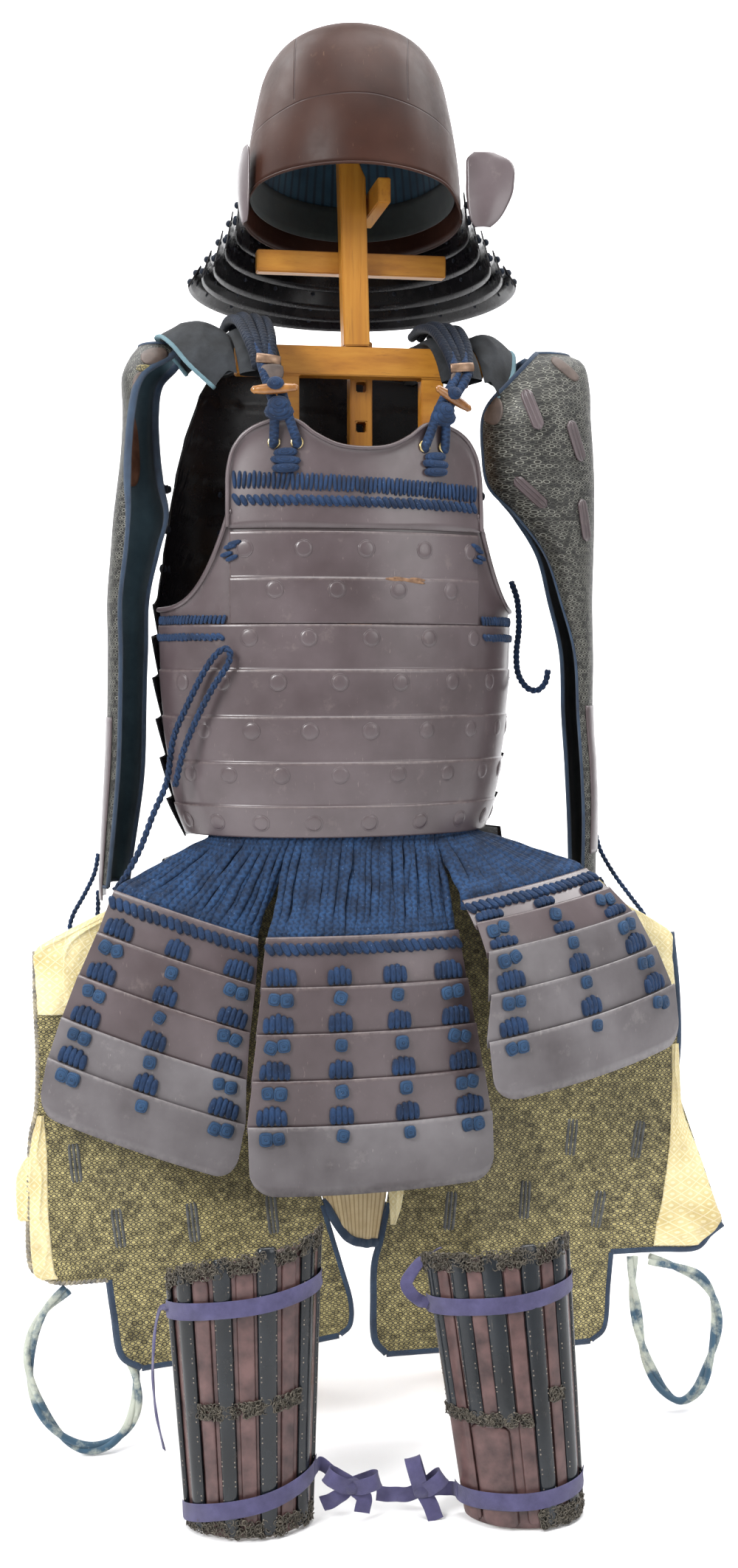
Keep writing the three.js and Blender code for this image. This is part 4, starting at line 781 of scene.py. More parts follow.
# %% Neck guard
NECK_LAMES = [
    {"top": 20, "top_half": 127, "bottom": -22, "bottom_half": 131, "end": -13},
    {"top": -1, "top_half": 135, "bottom": -42, "bottom_half": 143, "end": -12},
    {"top": -22, "top_half": 146, "bottom": -62, "bottom_half": 156, "end": -11},
    {"top": -43, "top_half": 158.5, "bottom": -73, "bottom_half": 169, "end": -9},
    {"top": -58, "top_half": 170, "bottom": -81, "bottom_half": 184, "end": -6},
]


def neck_surface(k):
    """A lame as a function of a, 0 to 1 from its right end round the back to its left, and of b, 0 at
    the top."""
    lame = NECK_LAMES[k]
    deeper = 29 - 2 * k

    def at(a, b):
        angle = np.radians(lame["end"] + a * (180 - 2 * lame["end"]))
        half = lame["top_half"] + (lame["bottom_half"] - lame["top_half"]) * b
        z = lame["top"] + (lame["bottom"] - lame["top"]) * b + 9 * np.maximum(np.sin(angle), 0)
        return on_helmet(np.stack([half * np.cos(angle), (half + deeper) * np.sin(angle), z], -1))

    return at


neck_knots = []
for k in range(5):
    at = neck_surface(k)
    a, b = np.meshgrid(np.linspace(0, 1, 97), np.linspace(0, 1, 7))
    lame = surface(f"neck_guard_lame_{k + 1}", at(a, b), wall=1.6 * MM)
    # The lower edge is painted lighter: rubbed lacquer and a painted edge highlight.
    edge_wear_and_highlight = lame.data.attributes.new("edge_wear_and_highlight", "FLOAT", "POINT")
    edge_wear_and_highlight.data.foreach_set("value", np.clip((b - 0.8) / 0.2, 0, 1).ravel())
    dressed(lame, BLACK, "black_lacquer", f"neck_lame_{k + 1}")
    ends = np.array([0.012, 0.012, 0.05, 0.95, 0.988, 0.988])
    down = np.array([0.3, 0.75, 0.5, 0.5, 0.3, 0.75])
    spots = places_on(at, ends, down, 2.4 * MM, swap=-1)
    neck_knots.append(copies(bead(4.6 * MM, 4.0 * MM, 3.6 * MM), spots))
    spots = places_on(at, np.linspace(0.12, 0.88, 9), 0.55, 1.8 * MM, swap=-1)
    neck_knots.append(copies(bead(4.6 * MM, 4.0 * MM, 2.6 * MM), spots))
dress("neck_guard_knots", joined(neck_knots), DARK_LACE, "lace")

# %% [markdown]
# ## The turned-back wings
#
# At each end the top lame turns back in a small shield. It is a rounded plate with a soft bulge:
# its outline comes from a short table of reaches, and the bulge is the product of two sine arches.

# %% Wings
WING = [
    {"z": 0, "near": 10, "far": 27}, {"z": 8, "near": 5, "far": 36}, {"z": 20, "near": 2, "far": 44},
    {"z": 38, "near": 0, "far": 52}, {"z": 52, "near": 0, "far": 54}, {"z": 66, "near": 0, "far": 54.5},
    {"z": 76, "near": 1, "far": 49}, {"z": 84, "near": 9, "far": 31},
]
for name, side, turn, x, y in (("left", -1, -73, -112, -88), ("right", 1, 6, 126, -58)):
    outline = smooth_path([[r["z"], r["near"], r["far"]] for r in WING], 26)
    t = np.linspace(0, 1, 17)[None, :]
    z, near, far = outline.T[:, :, None]
    reach = near + (far - near) * t
    bulge = 5 * np.sin(math.pi * t) * np.sin(math.pi * np.minimum(0.15 + z / 110, 1))
    points = np.stack([side * reach, -bulge, z + 0 * reach], -1) @ turned("z", turn).T + [x, y, -26]
    wing = surface(f"wing_{name}", on_helmet(points), wall=side * 1.6 * MM)
    dressed(wing, BROWN, "lacquer", f"helmet_wing_{name}")

# %% [markdown]
# ## The cuirass
#
# The front is made of level lames, riveted one over the other, and each lame's upper edge stands a
# little proud of the next. So the whole front is one ellipse, carried up a profile, plus a
# saw-tooth that grows from the lower to the upper edge of each lame. Two narrower lames and the top
# plate cover the chest, and the plates beside them sweep down under the arms.

# %% Body profile
TRUNK = [
    {"z": 660, "half_width": 174, "half_depth": 116}, {"z": 705, "half_width": 189, "half_depth": 124},
    {"z": 755, "half_width": 197, "half_depth": 129}, {"z": 830, "half_width": 204, "half_depth": 132},
    {"z": 900, "half_width": 205, "half_depth": 132}, {"z": 1003, "half_width": 204, "half_depth": 130},
    {"z": 1130, "half_width": 200, "half_depth": 121}, {"z": 1250, "half_width": 192, "half_depth": 112},
]
trunk_profile = smooth_path([[r["z"], r["half_width"], r["half_depth"]] for r in TRUNK], 160)
FRONT_EDGES = [670, 705, 753, 803, 854, 903]
CHEST_EDGES = [903, 953, 1003]
CHEST_HALF = 141
CHEST_REACH = math.degrees(math.asin(CHEST_HALF / 204))
STEP = 1.8


def trunk_at(angle, z, out=0.0):
    """x is the half width times the sine, y minus the half depth times the cosine of the angle from the
    front, both grown by out."""
    half_width = np.interp(z, trunk_profile[:, 0], trunk_profile[:, 1]) + out
    half_depth = np.interp(z, trunk_profile[:, 0], trunk_profile[:, 2]) + out
    a = np.radians(angle)
    x, y = half_width * np.sin(a), -half_depth * np.cos(a)
    return on_trunk(np.stack(np.broadcast_arrays(x, y, z + 0 * a), -1))


def angle_at(x):
    """The angle at which the chest is x millimetres from its middle."""
    return np.degrees(np.arcsin(np.asarray(x) / 204))


def lame_out(z, edges):
    """The saw-tooth: nothing at each lame's lower edge, a full step at its upper one."""
    share = np.interp(z, edges, np.arange(len(edges))) % 1
    return STEP * share


def lame_levels(edges):
    """Heights for the rows of a wall of lames, how far out each row stands, and how much its colour is
    lightened near the upper edge, as rubbed lacquer and as a painted edge highlight. The last rows of a lame
    are close together and round its edge."""
    shares = np.array([0, 0.05, 0.2, 0.4, 0.6, 0.8, 0.93, 0.975, 1.0])
    outs = STEP * shares - np.array([0, 0, 0, 0, 0, 0, 0, 0, 0.7])
    worn_and_edge_highlight = np.clip((shares - 0.93) / 0.04, 0, 1)
    low, high = np.array(edges[:-1])[:, None], np.array(edges[1:])[:, None]
    z = low + (high - low - 0.3) * shares[None, :]
    return z.ravel(), np.tile(outs, len(edges) - 1), np.tile(worn_and_edge_highlight, len(edges) - 1)


# Marks the edges that the lacquer paints lighter, as rubbed lacquer and as a painted highlight.
def set_edge_wear_and_highlight(piece, values):
    edge_wear_and_highlight = piece.data.attributes.new("edge_wear_and_highlight", "FLOAT", "POINT")
    edge_wear_and_highlight.data.foreach_set("value", np.asarray(values, float).ravel())


# %% Front, chest and side plates
z, out, worn_and_edge_highlight = lame_levels(FRONT_EDGES)
angle = np.linspace(-86, 86, 150)
uneven = 0.25 * noise(angle[None, :] / 9, z[:, None] / 30, 3)
grid = trunk_at(angle[None, :], z[:, None], out[:, None] + uneven)
front = surface("cuirass_lames", grid, wall=1.6 * MM)
# Upper lame edges painted lighter: rubbed lacquer and a painted highlight.
set_edge_wear_and_highlight(front, np.repeat(worn_and_edge_highlight, len(angle)))
dressed(front, BROWN, "lacquer", "cuirass_front")

z, out, worn_and_edge_highlight = lame_levels([*CHEST_EDGES, 1012])
angle = CHEST_REACH * np.sin(np.linspace(-math.pi / 2, math.pi / 2, 84))
drop = 0.9 * np.clip((np.abs(angle) / CHEST_REACH - 0.99) / 0.01, 0, 1)
grid = trunk_at(angle[None, :], z[:, None], np.where(z < 1003, out, -2.0)[:, None] - drop[None, :])
chest = surface("chest_lames", grid, wall=1.6 * MM)
# Upper and side edges painted lighter: rubbed lacquer and a painted highlight.
set_edge_wear_and_highlight(chest, np.maximum(worn_and_edge_highlight[:, None], (drop > 0)[None, :]))
dressed(chest, BROWN, "lacquer", "cuirass_front")


def armhole_edge(angle):
    """The plate beside the chest sweeps from the top plate's side down under the arm."""
    t = np.clip((np.abs(angle) - CHEST_REACH) / (86 - CHEST_REACH), 0, 1)
    return 1024 + (920 - 1024) * (1 - (1 - t) ** 4)


for name, side in (("left", -1), ("right", 1)):
    t = np.linspace(0, 1, 60)
    angle = side * (CHEST_REACH - 1 + (87 - CHEST_REACH) * t**1.4)
    share = np.linspace(0, 1, 22)[:, None]
    edge = armhole_edge(angle)[None, :]
    lip = 3.5 * np.exp(-(1 - share) * (edge - 900) / 7)
    grid = trunk_at(angle[None, :], 900 + (edge - 900) * share, -2.2 + lip)
    plate = surface(f"side_plate_{name}", grid, wall=side * 1.6 * MM)
    dressed(plate, BROWN, "lacquer", "cuirass_front")
    rolled = trunk_at(angle, armhole_edge(angle), 1.2)
    dress(f"armhole_rim_{name}", tube(rolled, 2.9 * MM, 10, reference=(0, -1, 0.3)), BROWN, "lacquer")
print("lames:", len(FRONT_EDGES) - 1 + len(CHEST_EDGES) - 1)

# %% [markdown]
# ## The top plate
#
# The top plate's outline is one smooth curve from its left side over both shoulders and the neck.
# The plate lies on the same ellipse and turns outwards near the edge: its distance from the body
# grows exponentially as the edge comes near. A rolled bead follows the outline.

# %% Top plate
TOP_OUTLINE = [
    (0, 1092), (28, 1095), (52, 1106), (72, 1120), (92, 1121), (110, 1116), (124, 1107), (133, 1095),
    (138, 1082), (141, 1060), (141, 1030), (141, 1007),
]
outline = smooth_path([(-x, z) for x, z in TOP_OUTLINE[:0:-1]] + TOP_OUTLINE, 220)
across = CHEST_HALF * np.sin(np.linspace(-math.pi / 2, math.pi / 2, 84))
upper = outline[np.abs(outline[:, 0]) < 140.6]
top = np.interp(across, upper[:, 0], upper[:, 1])[None, :]
share = np.linspace(0, 1, 26)[:, None] ** 0.8
height = 1006 + (top - 1006) * share


def top_out(x, below):
    return 0.6 + 4.2 * np.exp(-below / 5.5) + 1.8 * np.exp(-(CHEST_HALF - np.abs(x)) / 3.5)


grid = trunk_at(angle_at(across)[None, :], height, top_out(across[None, :], top - height))
top_plate = surface("top_plate", grid, wall=1.8 * MM)
dressed(top_plate, BROWN, "lacquer", "cuirass_top_plate")
bead_path = trunk_at(angle_at(np.clip(outline[:, 0], -CHEST_HALF, CHEST_HALF)), outline[:, 1], 4.6)
dress("top_plate_rim", tube(bead_path, 2.3 * MM, 10), BROWN, "lacquer")

# %% [markdown]
# ## Rivets
#
# Each lame is held by flat round rivets under the lacquer, spaced evenly and set half a step across
# from one row to the next. A rivet is a low dome in a shallow ring: a profile turned round its
# axis.

# %% Rivets
def turned_profile(profile, sides=20):
    """A closed shape from (radius, height) pairs in millimetres, turned round the third axis."""
    r, h = np.array(profile, float).T[:, :, None] * MM
    a = np.linspace(0, 2 * math.pi, sides, endpoint=False)[None, :]
    points = np.stack([r * np.cos(a), r * np.sin(a), h + 0 * a], -1)
    return points.reshape(-1, 3), grid_faces(len(points), sides, True), grid_uv(points, True)


RIVET = [
    (0, -0.8), (9.8, -0.8), (9.8, 0.12), (9.1, 0.16), (8.6, -0.05), (8.1, 0.45), (6.5, 0.85), (3.5, 1.05),
    (0, 1.1),
]
RIVET_ROWS = [
    {"z": 984, "offset": 0.5, "reach": 40, "edges": CHEST_EDGES},
    {"z": 940, "offset": -8.6, "reach": 42, "edges": CHEST_EDGES},
    {"z": 888, "offset": 2.0, "reach": 42, "edges": FRONT_EDGES},
    {"z": 840, "offset": -7.8, "reach": 68, "edges": FRONT_EDGES},
    {"z": 787, "offset": 2.0, "reach": 80, "edges": FRONT_EDGES},
    {"z": 739, "offset": -7.8, "reach": 72, "edges": FRONT_EDGES},
    {"z": 686, "offset": 2.5, "reach": 80, "edges": FRONT_EDGES},
]
RIVET_SPACING = 19.3
spots = []
for row in RIVET_ROWS:
    angles = row["offset"] + RIVET_SPACING * np.arange(-5, 6)
    angles = angles[np.abs(angles) < row["reach"]]
    at = lambda a, z, edges=row["edges"]: trunk_at(a, z, lame_out(z, edges))
    spots.append(places_on(at, angles, row["z"], lift=0.15 * MM))
spots = np.concatenate(spots)
dress("rivets", copies(turned_profile(RIVET), spots), BROWN, "lacquer")
print("rivets:", len(spots))

# %% [markdown]
# On the chest, right of the middle, a sliver of lacquer has gone from the edge of a lame and the
# rusty iron shows.

# %% Bare patch
on_edge = lambda a, z: trunk_at(a, z, STEP)
bare = places_on(on_edge, angle_at([34, 50, 60]), [951.4, 950.6, 951.6], -0.3 * MM, [-3, -9, -5])
bare[:, 0] *= np.array([0.6, 1.0, 0.5])[:, None]
dress("bare_iron", copies(bead(20 * MM, 2.0 * MM, 0.6 * MM, power=2.3), bare), RUST, "lacquer")

# %% [markdown]
# ## Lacing on the chest
#
# Two rows of lace join the top plate to the lame below it: upright strands side by side, and under
# them a twisted row. Both are one rounded lump, copied along the row and turned upright or aslant,
# and no two are quite alike.

# %% Rows of lace
def lace_row(at, along, across, half_length, half_width, lean, lift=0.8, seed=1, proud=2.0):
    """Lumps of lace at positions along a surface, longest across the row, leaning by an angle."""
    rng = np.random.default_rng(seed)
    n = len(along)
    shape = bead(half_width * MM, half_length * MM, proud * MM, power=2.6, sides=10, levels=6)
    spots = places_on(at, along, across + rng.normal(0, 0.25, n) * half_length * 0.12, lift * MM,
                      lean + rng.normal(0, 4, n))
    spots[:, 1] *= rng.uniform(0.92, 1.08, n)[:, None]
    return copies(shape, spots)


def on_top_plate(a, z):
    return trunk_at(a, z, 0.6)


def on_front(a, z):
    return trunk_at(a, z, lame_out(z, FRONT_EDGES))


band = angle_at(np.linspace(-136, 136, 56))
twist = angle_at(np.linspace(-134, 134, 38))
slope = np.linspace(2, -8, 56)
rows = [
    lace_row(on_top_plate, band, 1056 + slope, 9.6, 2.2, -4, seed=2, proud=2.6),
    lace_row(on_top_plate, twist, 1036 + 0.5 * slope[9:47], 7.2, 3.3, 36, seed=3, proud=3.2),
]
for side in (-1, 1):
    reach = side * np.linspace(46, 84, 22)
    behind = lambda a, z: trunk_at(a, z, -1.0)
    rows.append(lace_row(behind, reach, 908, 5.4, 2.2, side * 18, seed=5, lift=1.6))
    rows.append(lace_row(on_front, side * np.linspace(47, 84, 17), 889, 5.4, 3.2, 50, seed=6, proud=2.4))
    ties = np.array([41.6, 43.2, 44.6, 42.6])
    before = lambda a, z: trunk_at(a, z, 1.0)
    rows.append(lace_row(before, side * ties, np.array([990, 986, 978, 974]), 8.0, 2.6, side * 74,
                         seed=7, proud=3.0))
dress("chest_lacing", joined(rows), LACE, "lace")

# %% [markdown]
# ## The back
#
# The back plate is lacquered black and glossy, inside and out. Its lames step like those of the
# front, their side ends are cut aslant, so the side edge looks toothed, and pairs of knots hold
# them.

# %% Back plate
BACK_TOP = [
    (0, 1206), (60, 1206), (85, 1205), (110, 1202), (138, 1196), (153, 1170), (172, 1112), (184, 1060),
    (196, 990), (210, 920),
]
BACK_EDGES = np.linspace(664, 1210, 13)
angle = np.linspace(-1, 1, 96)[None, :]
shares = np.linspace(0, 1, 97)[:, None]
top = np.interp(np.abs(np.sin(np.radians(87 * angle))) * 209, *np.array(BACK_TOP).T)
height = 664 + (top - 664) * shares
saw = (np.interp(height, BACK_EDGES, np.arange(13)) % 1)
turn = 180 + (87 - 1.6 * saw * np.abs(angle) ** 20) * angle
flare = np.where(angle < 0, 15, 9) * saw * np.abs(angle) ** 26 * (height < 1010)
grid = trunk_at(turn, height, flare - 1.6 * saw + 0.4 * noise(angle * 12, height / 40, 9))
back = surface("back_lames", grid, wall=1.8 * MM)
# Upper lame edges painted lighter: rubbed lacquer and a painted highlight.
set_edge_wear_and_highlight(back, np.clip((saw - 0.93) / 0.05, 0, 0.6))
dressed(back, BLACK, "black_lacquer", "cuirass_back")
knot_angles = 180 + np.array([-70, -66, -35, -31, 31, 35, 66, 70])
knot_angles, knot_levels = [k.ravel() for k in np.meshgrid(knot_angles, BACK_EDGES[1:10] - 14)]
back_at = lambda a, z: trunk_at(a, z, 0.0)
outer = places_on(back_at, knot_angles, knot_levels, 1.0 * MM)
inner = places_on(back_at, knot_angles, knot_levels, -2.2 * MM)
outer = copies(bead(4.5 * MM, 5.5 * MM, 3.0 * MM), outer)
inner = copies(bead(3.6 * MM, 4.2 * MM, 2.0 * MM), inner)
dress("back_knots", joined([outer, inner]), DARK_LACE, "lace")

# %% [markdown]
# ## Shoulder straps and wings
#
# A padded strap runs from the back plate over the shoulder to the chest, and a small padded wing
# lies beside it, edged with light blue cloth. The strap is a flat tube along its path. The wing is
# a pillow: a closed loop of points that runs out along its upper side and back along its lower one,
# with a thickness that dies away at both edges. Old creases run across both, as folded waves.

# %% Straps
STRAP = [
    {"y": 92, "z": 1204}, {"y": 78, "z": 1226}, {"y": 58, "z": 1235}, {"y": 24, "z": 1236},
    {"y": -12, "z": 1234}, {"y": -42, "z": 1222}, {"y": -68, "z": 1202}, {"y": -86, "z": 1178},
]
STRAP_MIDDLE = {"left": 104, "right": 124}
STRAP_WIDTH = 46
PAD = [
    {"y": 92, "reach": 26, "droop": 2}, {"y": 78, "reach": 48, "droop": 2},
    {"y": 58, "reach": 62, "droop": 2}, {"y": 24, "reach": 70, "droop": 3},
    {"y": -12, "reach": 70, "droop": 4}, {"y": -42, "reach": 62, "droop": 5},
    {"y": -68, "reach": 48, "droop": 7}, {"y": -86, "reach": 24, "droop": 8},
]
PAD_SHARE = {"left": 1.0, "right": 0.81}


def creases(x, y, seed):
    """Sharp folds: one minus the size of a wandering wave, so its zero lines stand up as ridges."""
    return (1 - np.abs(noise(x, y, seed))) ** 2


def pillow(side, edge, share, thickness=9.0, seed=0):
    """The wing: t runs out from the strap and s from back to front. The loop's angle gives t as half of one
    minus its cosine, and the height is its sine times a thickness that fades at the two ends."""
    path = smooth_path([[p["y"], p["z"], q["reach"], q["droop"]] for p, q in zip(STRAP, PAD)], 70)
    y, z, reach, droop = path.T[:, :, None]
    s = np.linspace(0, 1, len(path))[:, None]
    loop = np.linspace(0, 2 * math.pi, 56, endpoint=False)[None, :]
    t = (1 - np.cos(loop)) / 2
    fade = (1 - np.abs(2 * s - 1) ** 5) ** 0.5
    crown = 7 * np.sin(math.pi * t)
    fold = 3.6 * creases(s * 14, t * 7, seed) * np.sin(math.pi * t) * np.sign(np.sin(loop))
    puff = thickness / 2 * np.sin(loop) * fade + fold
    x = side * (edge + reach * share * t)
    height = z - 5 + crown - 2 * droop * t + puff
    return on_trunk(np.stack(np.broadcast_arrays(x, y * (1 - 0.06 * t), height), -1))


for name, side in (("left", -1), ("right", 1)):
    middle = STRAP_MIDDLE[name]
    path = smooth_path([[side * middle, p["y"], p["z"] - 4.5] for p in STRAP], 120)
    far = np.linspace(0, 1, 121)
    width = STRAP_WIDTH / 2 * (1 + 0.03 * np.sin(9 * far))
    ring = rings(on_trunk(path), width * MM, 36, reference=(0, -0.4, 1), flat=0.19)
    round_it = np.linspace(0, 2 * math.pi, 36, endpoint=False)[None, :]
    lift = 2.4 * creases(far[:, None] * 24, 3 * np.cos(round_it), 17) * np.sin(round_it)
    ring = ring + lift[:, :, None] * MM * np.array([0, -0.3, 1])
    strap = surface(f"strap_{name}", ring, around=True, weld=1e-6)
    dressed(strap, PAD_CLOTH, "dark_cloth", f"shoulder_strap_{name}")
    wing = pillow(side, middle + STRAP_WIDTH / 2 + 3.5, PAD_SHARE[name], seed=4)
    pad = surface(f"pad_{name}", wing, around=True, weld=1e-6)
    dressed(pad, PAD_CLOTH, "dark_cloth", f"shoulder_pad_{name}")
    edge = wing[:, 28]
    piping = tube(edge, 3.4 * MM * (1 + 0.05 * np.sin(np.linspace(0, 150, len(edge)))), 10,
                  reference=(0.3, 0, 1), flat=0.7)
    dress(f"pad_piping_{name}", piping, PALE_EDGE, "dark_cloth")

# %% [markdown]
# ## Fastening cords
#
# Thick cords are looped over each strap. Two of them come down through a gilt band and a horn
# toggle, meet in a round knot, and part again to a pair of brass eyelets in the top plate. Below
# the eyelets they are wound into a flat knot of three turns.

# %% Cords, toggles and eyelets
def front_point(x, z, away):
    """A point in front of the chest, in millimetres in the frame of the trunk."""
    half_wide = np.interp(z, trunk_profile[:, 0], trunk_profile[:, 1]) + away
    half_depth = np.interp(z, trunk_profile[:, 0], trunk_profile[:, 2]) + away
    a = math.asin(x / half_wide)
    return [half_wide * math.sin(a), -half_depth * math.cos(a), z]


def circle(radius, steps=20):
    a = np.linspace(0, 2 * math.pi, steps + 1)
    return np.stack([radius * np.cos(a), radius * np.sin(a), 0 * a], -1)


def chest_at(a, z):
    return trunk_at(a, z, 0.0)


def spindle(half_length, radius, waist=0.45, sides=18):
    """A toggle: a rod along the first axis whose radius swells in the middle, with small round knobs at
    its ends."""
    u = np.linspace(-1, 1, 41)
    swell = waist + (1 - waist) * np.cos(u * math.pi / 2) ** 0.7
    knobs = 0.12 * np.exp(-((np.abs(u) - 0.86) / 0.05) ** 2)
    swell = swell * np.sqrt(np.clip(1 - np.abs(u) ** 14, 0, 1)) + knobs
    path = np.stack([half_length * u, 0 * u, 0 * u], -1) * MM
    return tube(path, np.maximum(radius * swell, 0.2) * MM, sides, reference=(0, 0, 1), flat=0.72)


eyelet = tube(circle(5.8 * MM), 1.4 * MM, 8, reference=(0, 0, 1))
FASTENINGS = [
    {"name": "left", "side": -1, "middle": 100, "toggle_x": 94, "toggle_z": 1151, "tilt": 3},
    {"name": "right", "side": 1, "middle": 118, "toggle_x": 99, "toggle_z": 1148, "tilt": -25},
]
for item in FASTENINGS:
    side, middle, name = item["side"], item["middle"], item["name"]
    strands = []
    for hand in (-1, 1):
        route = [
            [side * (middle + 3) + hand * 8, -80, 1204], [side * (middle + 1) + hand * 6, -92, 1190],
            [side * middle + hand * 6, -103, 1177],
            front_point(side * item["toggle_x"] + hand * 6, item["toggle_z"], 9),
            front_point(side * 90 + hand * 6, 1132, 11), front_point(side * 87 + hand * 9, 1114, 8),
            front_point(side * 84 + hand * 12, 1098, 4), front_point(side * 84 + hand * 12, 1094, 0),
        ]
        strands.append(tube(on_trunk(smooth_path(route, 110)), 5.2 * MM, 12))
    over = []
    for shift, gather, rise in ((-17, -9, 0), (-7, -3, 3), (6, 4, 2), (17, 10, 0)):
        route = [[shift, 44, 2], [shift * 1.05, 8, 5 + rise], [shift * 0.95, -34, -3 + rise],
                 [(shift + gather) / 2, -70, -26], [gather, -88, -48], [gather * 0.8, -93, -62]]
        route = np.array(route) + [side * (middle + 3), 0, 1241]
        over.append(tube(on_trunk(smooth_path(route, 90)), 5.6 * MM, 12))
    dress(f"strap_loops_{name}", joined(over), DARK_LACE, "lace")
    ball = places_on(chest_at, angle_at([side * 90, side * 90]), [1135, 1128], np.array([14, 12]) * MM)
    ball[1, 0] *= 1.25
    strands.append(copies(bead(13 * MM, 10 * MM, 9 * MM), ball))
    levels = np.array([1086, 1078, 1069.5])
    turns = angle_at(side * np.array([84, 84, 84]))
    wraps = places_on(chest_at, turns, levels, 3.6 * MM, np.array([4, -3, 2]))
    wraps[:, 0] *= np.array([0.86, 1.08, 0.98])[:, None]
    strands.append(copies(bead(15.5 * MM, 5.2 * MM, 5.4 * MM, power=2.5), wraps))
    knob = places_on(chest_at, angle_at([side * (item["toggle_x"] - 1)]), [item["toggle_z"] + 5], 22 * MM)
    strands.append(copies(bead(9.5 * MM, 7.5 * MM, 7 * MM), knob))
    dress(f"fastening_cords_{name}", joined(strands), LACE, "lace", f"strap_cord_{name}")
    spot = angle_at([side * item["toggle_x"]])
    toggle = places_on(chest_at, spot, [item["toggle_z"]], 19 * MM, item["tilt"])
    dress(f"toggle_{name}", copies(spindle(26, 6.0), toggle), HORN, "lacquer")
    rings_at = places_on(chest_at, angle_at(side * 84 + np.array([-12, 12])), [1097, 1097], 2.2 * MM)
    dress(f"eyelets_{name}", copies(eyelet, rings_at), BRASS, "lacquer")
    x = np.linspace(-13, 13, 21)
    clasp_path = on_trunk(np.stack([side * middle + x, -104 - 4 * np.cos(x / 9), 1186 + 0.1 * x * side], -1))
    clasp = tube(clasp_path, 5.0 * MM, 16, reference=(0, -1, 0), flat=0.34)
    tab = places_on(chest_at, angle_at([side * (middle - 2)]), [1171], 8 * MM)
    dress(f"clasp_{name}", clasp, PALE_GOLD, "lacquer")
    dress(f"clasp_tab_{name}", copies(bead(13 * MM, 9 * MM, 1.6 * MM, power=3.5), tab), LEATHER, "dark_cloth")
print("fastenings:", len(FASTENINGS))

# %% [markdown]
# ## Tassets
#
# Three hanging tassets of five lames each protect the front. A lame is a shallow trough: across,
# its depth grows with the square of the distance from the middle. Down, each lame starts a step
# proud of the one above and ends behind the one below, a little further aside, and the last one has
# round corners.

# %% Tasset lames
TASSETS = [
    {"name": "left", "at": (-190, -150, 589), "yaw": -3, "roll": 18.4, "top_half": 83, "last_half": 113,
     "brown": 3,
     "skirt": (-66, -27),
     "tops": [(0, 0, 0), (48, 6, 7), (98, 9, 14), (147, 14, 20), (193, 21, 26), (254, 29, 34)]},
    {"name": "centre", "at": (6, -161, 569), "yaw": 16, "roll": 0, "top_half": 108, "last_half": 137,
     "brown": 4,
     "skirt": (-26.5, 34),
     "tops": [(0, 0, 0), (53, 0, 7), (102, 1, 14), (151, 2, 20), (199, 3, 26), (272, 4, 36)]},
    {"name": "right", "at": (188, -84, 614), "yaw": 34, "roll": -8, "top_half": 89, "last_half": 135,
     "brown": 2,
     "skirt": (33.5, 66),
     "tops": [(0, 0, 0), (24, 3, 24), (52, 11, 44), (95, 14, 58), (143, 16, 68), (209, 12, 78)]},
]
BOW = 460
OVERLAP = 7
PROUD = 5
CORNER = 26


def hang(tasset):
    return place(tasset["at"], turned("z", tasset["yaw"]) @ turned("y", tasset["roll"]))


def half_width(tasset, down):
    return np.interp(down, [0, tasset["tops"][-2][0]], [tasset["top_half"], tasset["last_half"]])


def tasset_point(tasset, across, down, out):
    """x is the share across times the half width at that depth, shifted aside with the depth, and y is the
    square of the unshifted x over twice the bow."""
    x = across * half_width(tasset, down)
    tops = np.array(tasset["tops"], float)
    aside = np.interp(down, tops[:, 0], tops[:, 1])
    return hang(tasset)(np.stack(np.broadcast_arrays(x + aside, x * x / (2 * BOW) - out, -down), -1))


def on_lame(tasset, k, lift=1.6):
    """The outer face of lame k as a function of the share across and of minus the way down from its top edge,
    and the lame's length."""
    (down, _, out), (next_down, _, next_out) = tasset["tops"][k : k + 2]
    length = math.hypot(next_down - down, next_out - out)
    sink, jut = (next_down - down) / length, (next_out - out) / length

    def at(across, up):
        proud = (PROUD if k else 0) * (1 + up / length) + lift
        return tasset_point(tasset, across, down - sink * up - jut * proud, out - jut * up + sink * proud)

    return at, length


def round_corners(across):
    beyond = np.clip((np.abs(across) - 0.8) / 0.2, 0, 1)
    return CORNER * (1 - np.sqrt(1 - beyond**2))


for tasset in TASSETS:
    across = np.sin(np.linspace(-math.pi / 2, math.pi / 2, 50))[None, :]
    for k in range(5):
        at, length = on_lame(tasset, k)
        share = np.array([1.0, 0.85, 0.6, 0.4, 0.2, 0.08, 0.03, 0.0])[:, None]
        reach = length * share + (OVERLAP * share if k < 4 else -round_corners(across) * share**3)
        uneven = 0.35 * noise(across * 6, reach / 25, 20 + k)
        grid = on_lame(tasset, k, 1.6 + uneven - 0.8 * (share == 0))[0](across, -reach)
        lame = surface(f"tasset_{tasset['name']}_lame_{k + 1}", grid, wall=1.6 * MM)
        # Top, side and last lower edges painted lighter: rubbed lacquer and a painted highlight.
        edge = np.broadcast_to(np.maximum(share < 0.05, (k == 4) & (share > 0.9)), grid.shape[:2])
        set_edge_wear_and_highlight(lame, edge | (np.abs(across) > 0.995))
        paint = BROWN if k < tasset["brown"] else DUSTY
        dressed(lame, paint, "lacquer", f"tasset_{tasset['name']}_{k + 1}")
print("tasset lames:", 5 * len(TASSETS))

# %% [markdown]
# ## Lacing of the tassets
#
# A thick twisted row of lace runs across each top lame. Further down the lames hang on bundles of
# upright strands that come up over a lame's edge and end in a dome, and below the edge each bundle
# shows as one square knot, or as two side by side at the ends.

